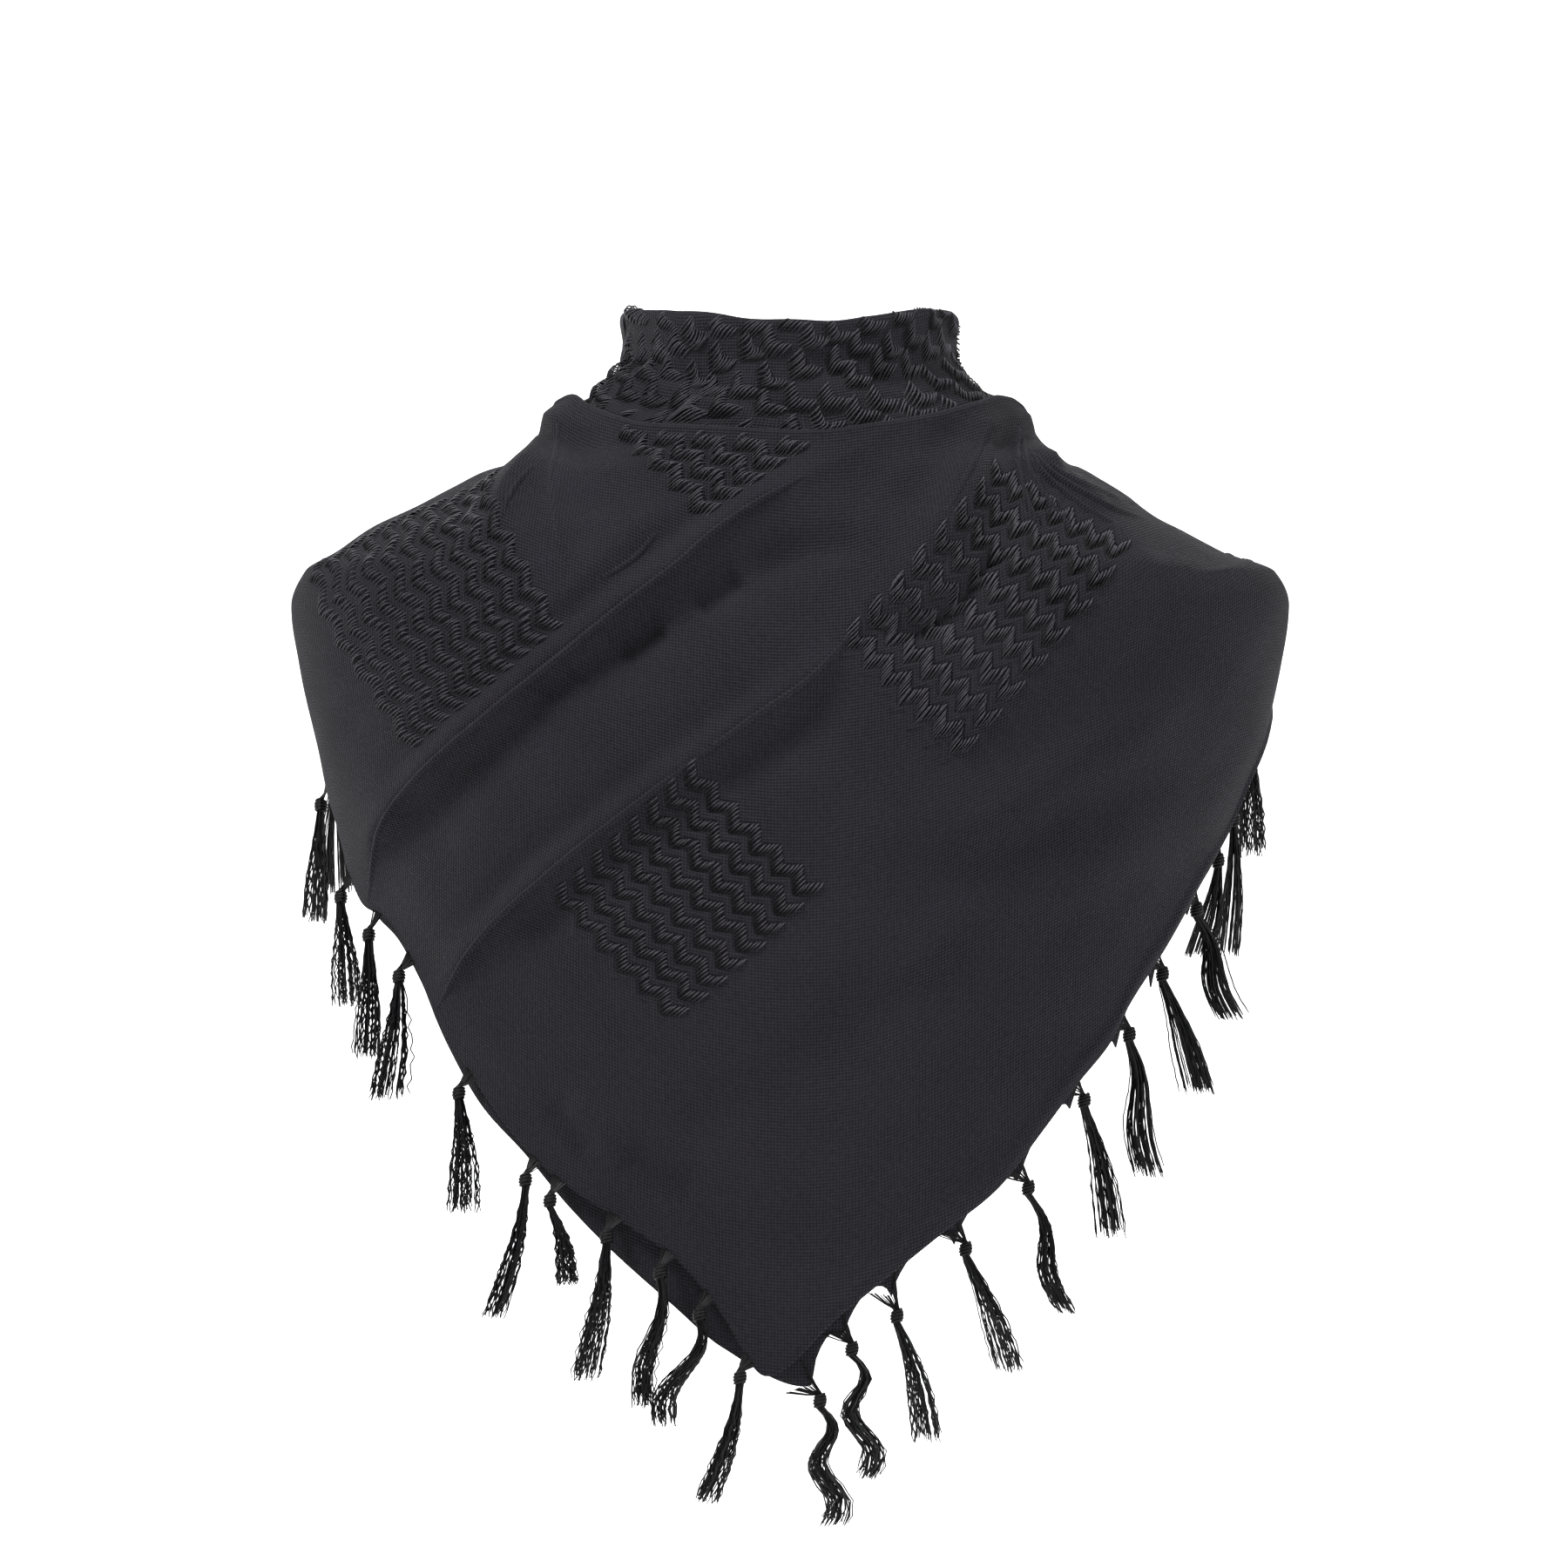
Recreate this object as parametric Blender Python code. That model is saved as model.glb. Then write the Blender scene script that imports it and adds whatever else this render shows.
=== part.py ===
"""Keffiyeh scarf worn round the neck: one square folded on its diagonal, with knotted tassels.

Metres, +Z up, the front faces -Y. The origin is the middle of the neck opening, level with
the valley where the neck band meets the drape. Angles go round +Z from the front centre,
positive towards +X.
"""
import math
import random
from collections import namedtuple

import bmesh
import bpy
import numpy as np

MM = 0.001
Table = namedtuple("Table", "columns rows")

# The cloth
WALL = 1.2 * MM
LAYER_GAP = 3.3 * MM
UNDER_RIDGES = 0.3
UNDER_TROUGHS = 1.5
UNDER_TOP_DROP = 11.0
FOLD_RADIUS = 2.4 * MM
FOLD_TUCK = 7.0 * MM
BACK_END = 166.0

# Sizes of the meshes
ROW_CROWDING = 1.15
BEND_LENGTH = 45.0 * MM
FRONT_COLUMNS = 36
SIDE_COLUMNS = 10
DRAPE_ROWS = 20
UNDER_ROWS = 13
BAND_COLUMNS = 32
WRAP_COLUMNS = 22
WRAP_ROWS = 8

# Outline of the draped cloth at each height, in mm: half widths to the left and right of the
# centre and half depths to the front and back of it.
SECTIONS = Table(("z", "left", "right", "front", "back"), (
    (-450, 190, 190, 147, 128),
    (-300, 198, 194, 149, 128),
    (-250, 202, 198, 147, 128),
    (-200, 209, 206, 144, 126),
    (-165, 218.5, 217, 140, 124),
    (-140, 224.5, 224.5, 136, 122),
    (-107, 231, 231, 129, 118),
    (-80, 234.5, 235, 122, 112),
    (-64, 228, 228, 117, 108),
    (-55, 214, 206, 114, 105),
    (-44, 197, 184, 110, 101),
    (-33, 175, 163, 105, 97),
    (-18, 148, 137, 98, 92),
    (-6, 114, 114, 93, 88),
    (6, 108, 108, 89, 85),
    (18, 104, 105, 87, 82),
    (50, 98, 98, 84, 79),
))

# Height of the folded top edge of the drape round the neck, in degrees and mm.
TOP_EDGE = Table(("angle", "z"), (
    (-180, -10), (-120, -10), (-103, -5), (-90, 9), (-76, 18), (-66, 14), (-50, 8), (-40, 4.5),
    (-16, 1.6), (6, 0), (23, 3.7), (35, 7.4), (58, 15), (70, 18), (79, 17), (90, 6), (103, -5),
    (120, -10), (180, -10),
))

# Hems seen from the front, in mm from the left side round the tip to the right side.
FRONT_HEM = Table(("x", "z"), (
    (-207, -202), (-199, -220), (-187, -228), (-175, -247), (-163, -273),
    (-146, -301), (-116, -338), (-77, -365), (-52, -382), (-32, -406), (-11, -435),
    (22, -408), (42, -392), (71, -369), (95, -350), (116, -324), (132, -303), (149, -282),
    (157, -266), (173, -242), (190, -213), (202, -193), (214, -166),
))
UNDER_HEM = Table(("x", "z"), (
    (-206, -206), (-198, -225), (-187, -236), (-175, -256), (-162, -285),
    (-146, -312), (-126, -333), (-105, -357), (-85, -377), (-56, -402), (-32, -422),
    (7, -440), (28, -419), (47, -402), (77, -378), (101, -357), (122, -331), (138, -309),
    (154, -289), (163, -272), (179, -247), (194, -220), (204, -200), (215, -172),
))

# The hems behind the shoulders rise towards the nape, in degrees from the front and mm.
BACK_HEM = Table(("angle", "left", "right"), (
    (91, -172, -140), (105, -150, -132), (120, -124, -116), (135, -98, -94),
    (150, -69, -68), (180, -20, -20),
))

# Ridges (height above 0) and troughs (below 0) in mm, each along a route of (x, z) points
# that is seen from the front or from the back.
CREASES = Table(("side", "height", "width", "route"), (
    ("front", 7.0, 8.5, ((-198, -222), (-193, -189), (-178, -166), (-139, -131), (-104, -103),
                       (-52, -62), (-19, -36), (38, -6))),
    ("front", -3.0, 14, ((-186, -206), (-150, -160), (-109, -124), (-68, -94), (-30, -70),
                         (20, -55))),
    ("front", 6.0, 8.5, ((-165, -270), (-148, -242), (-109, -203), (-44, -153), (9, -115),
                       (63, -57), (98, -14))),
    ("front", -2.5, 12, ((-130, -244), (-90, -207), (-30, -161), (22, -122))),
    ("front", 8.0, 8, ((-102, 18), (-111, 0), (-119, -13), (-129, -26), (-137, -44))),
    ("front", -4.0, 9, ((-122, 4), (-137, -10), (-150, -26), (-158, -44))),
    ("front", 3.0, 11, ((-132, -37), (-116, -56), (-104, -76), (-80, -54), (-58, -36))),
    ("front", 6.0, 8, ((106, 16), (108, -3), (114, -12), (124, -22))),
    ("front", 3.0, 8, ((93, 14), (84, -8), (74, -31), (60, -56))),
    ("front", -4.0, 12, ((103, -30), (91, -64), (74, -85), (48, -99))),
    ("front", -3.0, 16, ((77, -158), (141, -124), (186, -92))),
    ("front", -2.5, 11, ((190, -34), (197, -50), (200, -64))),
    ("front", 2.5, 9, ((125, -22), (150, -44), (172, -70))),
    ("front", -2.0, 14, ((-40, -320), (10, -290), (70, -250), (130, -200))),
    ("back", 5.0, 10, ((-22, -18), (-80, -34), (-140, -58), (-205, -90))),
    ("back", -3.5, 10, ((-26, -30), (-86, -56), (-150, -84), (-205, -122))),
    ("back", 4.0, 11, ((22, -16), (78, -30), (140, -52), (206, -78))),
    ("back", -3.0, 10, ((28, -30), (84, -54), (146, -80), (206, -112))),
    ("back", 3.5, 10, ((34, -44), (92, -78), (150, -104), (200, -136))),
))

# The neck band from the drape's top edge up to the rim: share of the height, then half sizes
# in mm. Its foot spreads to lie behind the drape's fold, and leaves room at the sides for the
# wound ends.
BAND_OUTSIDE = Table(("share", "side", "front", "back"), (
    (0.10, 91.0, 82.6, 82.0), (0.24, 85.5, 80.6, 79.0), (0.38, 80.8, 78.0, 76.5),
    (0.50, 78.8, 75.2, 74.0), (0.64, 78.2, 73.2, 72.0), (0.80, 78.4, 72.2, 70.4),
    (0.94, 79.6, 72.0, 69.6),
))
BAND_FOOT_DROPS = (8.5, 3.0)
BAND_FOOT_INWARD = Table(("angle", "inward"), (
    (0, 4.9), (66, 4.9), (80, 8.4), (100, 8.4), (122, 5.4), (180, 5.2),
))
BAND_INNER_FOOT = -20.0
BAND_INNER_ROWS = 3
BAND_RIM = Table(("angle", "z"), (
    (-180, 45), (-150, 46), (-120, 51), (-90, 57), (-70, 59), (-40, 56.5), (-16, 53), (7, 51.7),
    (40, 55.5), (67, 59), (90, 54), (120, 50), (150, 46), (180, 45),
))

# The wound ends. Angle from where each leaves its own shoulder, round the nape to the other
# side, then middle height, half width and height over the drape, in mm.
WRAP_UNDERNEATH = Table(("angle", "z", "half", "over"), (
    (138, -50, 34, 2.1), (155, -32, 29, 2.1), (170, -15, 26, 2.8), (185, 0, 23, 3.0),
    (205, 11, 19, 3.0), (225, 14, 13, 0.5), (240, 14, 11, -3.5), (255, 13, 8, -6.2),
    (272, 13.5, 6, -6.4),
))
WRAP_ON_TOP = Table(("angle", "z", "half", "over"), (
    (138, -50, 33, 2.1), (148, -42, 31, 4.4), (157, -32, 29, 7.2), (170, -15, 26, 8.4),
    (185, 0, 24, 8.4), (205, 12, 19, 7.6), (225, 15, 14, 2.5), (240, 13, 11, -3.5),
    (255, 11.5, 8, -6.2), (265, 12, 5.5, -6.3),
))
WRAP_PLEATS = 3.0
WRAP_PLEAT_HEIGHT = 1.5 * MM
FULL_PLEAT_WIDTH = 14.0

# The tassels
TASSEL_STRANDS = 5
STRAND_SEGMENTS = 3
WAVY_SEGMENTS = 8
WEB_HALF_WIDTH = 4.5 * MM
WEB_HALF_THICKNESS = 0.5 * MM
WEB_LENGTH = 8.0 * MM
KNOT_RADIUS = 3.6 * MM
KNOT_LENGTH = 5.0 * MM
ROOT_RADIUS = 3.2 * MM
STRAND_SHARE = 0.62
STRAND_TIP_SHARE = 0.8
STRAND_SPREAD = 2.0
SEAM_GAP = 0.45 * MM
TASSEL_LENGTH = 70.0 * MM
OUTER_STAND_OFF = 4.6 * MM

# Tassels that show from the front, in mm: root along the hem, then the end of the strands
# from the root, how far they swing from side to side, and the number of half swings.
LEFT_TASSELS = Table(("root_x", "end_dx", "end_dz", "swing", "halves"), (
    (-206, 3, -60, 1, 1), (-192, -1, -66, 2, 1), (-176, -6, -66, 2, 1), (-148, 2, -64, 2, 1),
    (-117, -15, -72, 3, 1), (-106, 8, -48, 3, 1), (-80, -9, -74, 2, 1), (-56, -8, -70, 3, 2),
    (-37, -16, -60, 4, 2), (-19, -15, -66, 3, 1),
))
RIGHT_TASSELS = Table(("root_x", "end_dx", "end_dz", "swing", "halves"), (
    (10, 6, -66, 4, 3), (24, 8, -68, 5, 4), (47, 14, -66, 3, 1), (77, 20, -65, 2, 1),
    (107, 17, -66, 3, 1), (132, 13, -72, 3, 1), (154, 9, -74, 3, 1), (171, 17, -64, 2, 1),
    (189, 16, -60, 4, 2), (201, -9, -54, 3, 1),
))

# The tassels behind each shoulder: angles of the first and the last, and how many there are.
LEFT_BEHIND = (95.0, 157.0, 6)
RIGHT_BEHIND = (89.0, 157.0, 7)
TASSEL_SEED = 11

CLOTH_COLOUR = (0.028, 0.028, 0.032, 1.0)
YARN_COLOUR = (0.018, 0.018, 0.020, 1.0)


def smooth(table, value, column):
    """Read a column of a table at a value of its first column, on a smooth curve."""
    place = table.columns.index(column)
    keys = np.array([row[0] for row in table.rows], dtype=float)
    heights = np.array([row[place] for row in table.rows], dtype=float)
    rates = np.diff(heights) / np.diff(keys)
    product = rates[:-1] * rates[1:]
    total = np.where(product > 0, rates[:-1] + rates[1:], 1.0)
    inner = np.where(product > 0, 2.0 * product / total, 0.0)
    slopes = np.concatenate([rates[:1], inner, rates[-1:]])
    value = np.clip(value, keys[0], keys[-1])
    index = np.clip(np.searchsorted(keys, value, side="right") - 1, 0, len(keys) - 2)
    span = keys[index + 1] - keys[index]
    t = (value - keys[index]) / span
    rise = heights[index] * (1 + 2 * t) * (1 - t) ** 2 + heights[index + 1] * t * t * (3 - 2 * t)
    lean = slopes[index] * t * (1 - t) ** 2 - slopes[index + 1] * t * t * (1 - t)
    return rise + lean * span


def section(angle, z):
    """Point of the draped cloth's outline at an angle in degrees and a height in metres."""
    turn = np.radians(angle)
    side, ahead = np.sin(turn), np.cos(turn)
    left, right, front, back = (smooth(SECTIONS, z / MM, name) for name in SECTIONS.columns[1:])
    wide = np.where(side < 0, left, right)
    deep = np.where(ahead > 0, front, back)
    return np.stack([wide * side * MM, -deep * ahead * MM, z + 0 * side], axis=-1)


def section_normal(angle, z):
    """Outward direction of the draped cloth's outline."""
    step = 0.5
    around = section(angle + step, z) - section(angle - step, z)
    upward = section(angle, z + step * MM) - section(angle, z - step * MM)
    normal = np.cross(around, upward)
    return normal / np.linalg.norm(normal, axis=-1, keepdims=True)


def hem_by_angle(front_hem):
    """Hem heights by angle, from the hem seen from the front and the one behind."""
    heights = []
    for x, z in front_hem.rows:
        half = smooth(SECTIONS, z, "left" if x < 0 else "right")
        heights.append((math.degrees(math.asin(max(-1.0, min(1.0, x / half)))), z))
    behind_left = [(-angle, left) for angle, left, right in BACK_HEM.rows[::-1]]
    behind_right = [(angle, right) for angle, left, right in BACK_HEM.rows]
    return Table(("angle", "z"), behind_left + heights + behind_right)


def crease_heights(points, share_of_ridges=1.0, share_of_troughs=1.0):
    """Height of all ridges and troughs at each point of a grid."""
    total = np.zeros(points.shape[:-1])
    flat = points[..., [0, 2]]
    for side, height, width, route in CREASES.rows:
        facing = -points[..., 1] if side == "front" else points[..., 1]
        weight = np.clip(facing / (20 * MM) + 0.5, 0.0, 1.0)
        nearest = np.full(total.shape, np.inf)
        ends = np.ones(total.shape)
        stops = [np.array(stop, dtype=float) * MM for stop in route]
        for number, (start, end) in enumerate(zip(stops, stops[1:])):
            along = end - start
            t = np.clip(((flat - start) @ along) / (along @ along), 0.0, 1.0)
            apart = np.linalg.norm(flat - (start + t[..., None] * along), axis=-1)
            place = (number + t) / (len(stops) - 1)
            fade = np.clip(np.minimum(place, 1.0 - place) * 5.0 + 0.25, 0.0, 1.0)
            ends = np.where(apart < nearest, fade, ends)
            nearest = np.minimum(nearest, apart)
        share = share_of_ridges if height > 0 else share_of_troughs
        total += share * height * MM * weight * ends * np.exp(-(nearest / (width * MM)) ** 2)
    return total


def grid_normals(grid):
    """Outward normals of a grid of points whose columns go round and rows go down."""
    across = np.gradient(grid, axis=0)
    down = np.gradient(grid, axis=1)
    normals = np.cross(down, across)
    return normals / np.linalg.norm(normals, axis=-1, keepdims=True)


def column_angles():
    """Angles of the drape's columns, closer together over the chest."""
    front = np.linspace(-84.0, 84.0, FRONT_COLUMNS)
    side = np.linspace(84.0, BACK_END, SIDE_COLUMNS + 1)[1:]
    return np.concatenate([-side[::-1], front, side])


def draped_grid(angles, top, hem, rows):
    """Rows of points down the outline, closer at the neck and where the outline bends."""
    grid = []
    for angle in angles:
        upper = top(angle) * MM
        lower = smooth(hem, angle, "z") * MM
        line = section(np.full(160, angle), np.linspace(upper, lower, 160))
        moves = np.diff(line, axis=0)
        steps = np.linalg.norm(moves, axis=-1)
        heads = moves / steps[:, None]
        bends = np.arccos(np.clip(np.sum(heads[1:] * heads[:-1], axis=-1), -1.0, 1.0))
        steps[1:] += BEND_LENGTH * bends
        length = np.concatenate([[0.0], np.cumsum(steps)])
        wanted = length[-1] * np.linspace(0.0, 1.0, rows) ** ROW_CROWDING
        grid.append([[np.interp(s, length, line[:, k]) for k in range(3)] for s in wanted])
    return np.array(grid)


def material(name, colour, roughness):
    """Plain cloth or yarn material."""
    made = bpy.data.materials.new(name)
    made.use_nodes = True
    shader = made.node_tree.nodes["Principled BSDF"]
    shader.inputs["Base Color"].default_value = colour
    shader.inputs["Roughness"].default_value = roughness
    shader.inputs["Metallic"].default_value = 0.0
    made.diffuse_color = colour
    return made


def add_object(name, points, faces, finish):
    """Put a mesh in the scene as one named, smooth shaded piece."""
    mesh = bpy.data.meshes.new(name)
    mesh.from_pydata([tuple(map(float, point)) for point in points], [], faces)
    shape = bmesh.new()
    shape.from_mesh(mesh)
    bmesh.ops.recalc_face_normals(shape, faces=shape.faces[:])
    shape.to_mesh(mesh)
    shape.free()
    mesh.shade_smooth()
    mesh.materials.append(finish)
    bpy.context.collection.objects.link(bpy.data.objects.new(name, mesh))


def add_wall(name, outside, finish, ring=False):
    """Close a grid of outside points into a cloth wall of even thickness."""
    columns, rows = outside.shape[:2]
    if ring:
        looped = np.concatenate([outside[-1:], outside, outside[:1]])
        normals = grid_normals(looped)[1:-1]
    else:
        normals = grid_normals(outside)
    inside = outside - normals * WALL
    points = np.concatenate([outside.reshape(-1, 3), inside.reshape(-1, 3)])
    back = columns * rows
    faces = []
    last = columns if ring else columns - 1
    for i in range(last):
        j = (i + 1) % columns
        for k in range(rows - 1):
            a, b, c, d = i * rows + k, i * rows + k + 1, j * rows + k + 1, j * rows + k
            faces.append((a, b, c, d))
            faces.append((back + d, back + c, back + b, back + a))
        top_a, top_b = i * rows, j * rows
        faces.append((top_b, back + top_b, back + top_a, top_a))
        foot_a, foot_b = top_a + rows - 1, top_b + rows - 1
        faces.append((foot_a, back + foot_a, back + foot_b, foot_b))
    if not ring:
        for k in range(rows - 1):
            faces.append((k + 1, k, back + k, back + k + 1))
            a = (columns - 1) * rows + k
            faces.append((a, a + 1, back + a + 1, back + a))
    add_object(name, points, faces, finish)
    return inside


def drape_front(finish):
    """The outer layer, with its top edge turned over towards the neck."""
    angles = column_angles()
    hem = hem_by_angle(FRONT_HEM)
    base = draped_grid(angles, lambda angle: smooth(TOP_EDGE, angle, "z") - FOLD_RADIUS / MM,
                       hem, DRAPE_ROWS)
    body = base + grid_normals(base) * crease_heights(base)[..., None]
    outward = body[:, 0] * (1.0, 1.0, 0.0)
    outward /= np.linalg.norm(outward, axis=-1, keepdims=True)
    edge = body[:, 0]
    rise = np.array((0.0, 0.0, 1.0))
    crown = edge - outward * FOLD_RADIUS + rise * FOLD_RADIUS
    shoulder = edge - outward * FOLD_RADIUS * 0.3 + rise * FOLD_RADIUS * 0.72
    inner = edge - outward * 2.0 * FOLD_RADIUS
    tuck = inner - rise * (FOLD_TUCK - FOLD_RADIUS)
    fold = np.stack([tuck, inner, crown, shoulder], axis=1)
    outside = np.concatenate([fold, body], axis=1)
    inside = add_wall("drape_front", outside, finish)
    return angles, outside[:, -1], inside[:, -1]


def drape_under(finish):
    """The second layer, close inside the first, with its own hem."""
    angles = column_angles()
    hem = hem_by_angle(UNDER_HEM)
    base = draped_grid(angles, lambda angle: smooth(TOP_EDGE, angle, "z") - UNDER_TOP_DROP,
                       hem, UNDER_ROWS)
    lift = crease_heights(base, UNDER_RIDGES, UNDER_TROUGHS) - (WALL + LAYER_GAP)
    outside = base + grid_normals(base) * lift[..., None]
    inside = add_wall("drape_under", outside, finish)
    return angles, outside[:, -1], inside[:, -1]


def neck_band(finish):
    """The folded top of the cloth: outer layer, rim and inner layer."""
    grid = []
    for angle in np.linspace(-180.0, 180.0, BAND_COLUMNS, endpoint=False):
        turn = math.radians(angle)
        side, ahead = math.sin(turn), math.cos(turn)
        rim = smooth(BAND_RIM, angle, "z")
        edge = smooth(TOP_EDGE, angle, "z")
        out = np.array((side, -ahead))
        inward = smooth(BAND_FOOT_INWARD, abs(angle), "inward")
        fold_x, fold_y = section(np.array(angle), np.array(edge * MM))[:2] / MM
        fold_x, fold_y = np.array((fold_x, fold_y)) - out * inward
        column = [(fold_x, fold_y, edge - drop) for drop in BAND_FOOT_DROPS]
        for share, wide, front, back in BAND_OUTSIDE.rows:
            deep = front if ahead > 0 else back
            column.append((wide * side, -deep * ahead, edge + share * (rim - edge)))
        x, y, z = column[-1]
        radius = FOLD_RADIUS / MM
        crown_x, crown_y = np.array((x, y)) - out * radius
        inner_x, inner_y = np.array((x, y)) - out * 2.0 * radius
        column.append((crown_x, crown_y, rim))
        for step in range(BAND_INNER_ROWS):
            drop = step / (BAND_INNER_ROWS - 1)
            column.append((inner_x, inner_y, z + drop * (BAND_INNER_FOOT - z)))
        grid.append(column[::-1])
    add_wall("neck_band", np.array(grid) * MM, finish, ring=True)


def wrap(name, table, side, finish):
    """One wound end: a pleated strip from its shoulder over the nape to the other side."""
    grid = []
    for angle in np.linspace(table.rows[0][0], table.rows[-1][0], WRAP_COLUMNS):
        middle, half, over = (smooth(table, angle, name) for name in ("z", "half", "over"))
        fade = min(1.0, half / FULL_PLEAT_WIDTH)
        column = []
        for share in np.linspace(1.0, -1.0, WRAP_ROWS + 1):
            z = (middle + share * half) * MM
            point = section(np.array(side * angle), np.array(z))
            outward = section_normal(np.array(side * angle), np.array(z))
            wave = 1.0 + math.cos(math.pi * WRAP_PLEATS * share)
            pleat = WRAP_PLEAT_HEIGHT * fade * wave
            below = max(0.0, float(crease_heights(point)))
            column.append(point + outward * (over * MM + below + 0.5 * pleat))
        grid.append(column)
    grid = np.array(grid)
    add_wall(name, grid if side > 0 else grid[::-1], finish)


def hem_root(hem, wanted_x=None, wanted_angle=None):
    """Middle of the nearest straight stretch of the hem, its direction and the way out."""
    angles, outside, inside = hem
    middle = (outside + inside) / 2.0
    if wanted_angle is None:
        front = np.abs(angles) < 88.0
        place = np.interp(wanted_x, middle[front, 0], np.flatnonzero(front))
    else:
        place = np.interp(wanted_angle, angles, np.arange(len(angles)))
    i = int(min(max(math.floor(place), 0), len(angles) - 2))
    root = (middle[i] + middle[i + 1]) / 2.0
    along = middle[i + 1] - middle[i]
    out = outside[i] - inside[i]
    return root, along / np.linalg.norm(along), out / np.linalg.norm(out)


def tassel(name, root, along, out, end, swing, halves, stand_off, finish):
    """Pulled yarn web, knot and strands, grown from one cap so that they are one body."""
    down = np.cross(along, out)
    down = -down if down[2] > 0 else down
    lean = np.array((end[0], end[1], 0.0))
    sides = TASSEL_STRANDS
    turns = [2 * math.pi * i / sides for i in range(sides)]
    top = root + down * SEAM_GAP
    knot = root + down * WEB_LENGTH * 0.6 + np.array((0, 0, -WEB_LENGTH * 0.4)) + out * stand_off
    low = knot - np.array((0.0, 0.0, KNOT_LENGTH))
    level_along = along * (1.0, 1.0, 0.0)
    level_along /= np.linalg.norm(level_along)
    level_out = np.array((level_along[1], -level_along[0], 0.0))
    if level_out @ out < 0:
        level_out = -level_out
    points = []
    for turn in turns:
        points.append(top + along * WEB_HALF_WIDTH * math.cos(turn)
                      + out * WEB_HALF_THICKNESS * math.sin(turn))
    for centre, radius in ((knot, KNOT_RADIUS), (low, ROOT_RADIUS)):
        for turn in turns:
            points.append(centre + level_along * radius * math.cos(turn)
                          + level_out * radius * math.sin(turn))
    faces = [tuple(range(sides))]
    for ring in range(2):
        for i in range(sides):
            j = (i + 1) % sides
            a, b = ring * sides, (ring + 1) * sides
            faces.append((a + i, b + i, b + j, a + j))
    centre_index = len(points)
    points.append(low)
    root_ring = 2 * sides
    segments = WAVY_SEGMENTS if halves > 1 else STRAND_SEGMENTS
    length = abs(end[2])
    for i in range(sides):
        j = (i + 1) % sides
        corners = [root_ring + i, centre_index, root_ring + j]
        middle = sum(points[c] for c in corners) / 3.0
        shape = [(points[c] - middle) * STRAND_SHARE for c in corners]
        aside = (middle - low) * STRAND_SPREAD
        before = corners
        for step in range(segments + 1):
            t = step / segments
            sway = swing * math.sin(math.pi * halves * t) * MM
            place = middle + lean * t + aside * t + level_along * sway
            place = place - np.array((0.0, 0.0, t * (length - WEB_LENGTH - KNOT_LENGTH)))
            size = 1.0 + (STRAND_TIP_SHARE - 1.0) * t
            now = list(range(len(points), len(points) + 3))
            points.extend(place + offset * size for offset in shape)
            for k in range(3):
                m = (k + 1) % 3
                faces.append((before[m], before[k], now[k], now[m]))
            before = now
        faces.append(tuple(before))
    add_object(name, points, faces, finish)


def tassels(front, under, finish):
    """All tassels: those that show from the front, then those behind each shoulder."""
    rng = random.Random(TASSEL_SEED)
    number = 0
    groups = ((LEFT_TASSELS, LEFT_BEHIND, front, OUTER_STAND_OFF, -1),
              (RIGHT_TASSELS, RIGHT_BEHIND, under, 0.0, 1))
    for table, (first_angle, last_angle, behind), hem, stand_off, side in groups:
        for root_x, end_dx, end_dz, swing, halves in table.rows:
            number += 1
            root, along, out = hem_root(hem, wanted_x=root_x * MM)
            end = (end_dx * MM, 0.0, end_dz * MM)
            tassel(f"tassel_{number:02d}", root, along, out, end, swing, halves, stand_off,
                   finish)
        for angle in np.linspace(first_angle, last_angle, behind):
            number += 1
            root, along, out = hem_root(hem, wanted_angle=side * angle)
            end = (rng.uniform(-4, 4) * MM, rng.uniform(4, 10) * MM,
                   -TASSEL_LENGTH * rng.uniform(0.9, 1.05))
            tassel(f"tassel_{number:02d}", root, along, out, end, rng.uniform(1, 3), 1,
                   stand_off, finish)


def build():
    """Make the whole scarf."""
    for old in list(bpy.data.objects):
        bpy.data.objects.remove(old, do_unlink=True)
    cloth = material("cloth", CLOTH_COLOUR, 0.85)
    yarn = material("yarn", YARN_COLOUR, 0.75)
    neck_band(cloth)
    front_hem = drape_front(cloth)
    under_hem = drape_under(cloth)
    wrap("wrap_left", WRAP_UNDERNEATH, -1, cloth)
    wrap("wrap_right", WRAP_ON_TOP, 1, cloth)
    tassels(front_hem, under_hem, yarn)


build()
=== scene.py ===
import math
import random

import bpy
import numpy as np
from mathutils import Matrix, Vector
from mathutils.bvhtree import BVHTree


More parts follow.
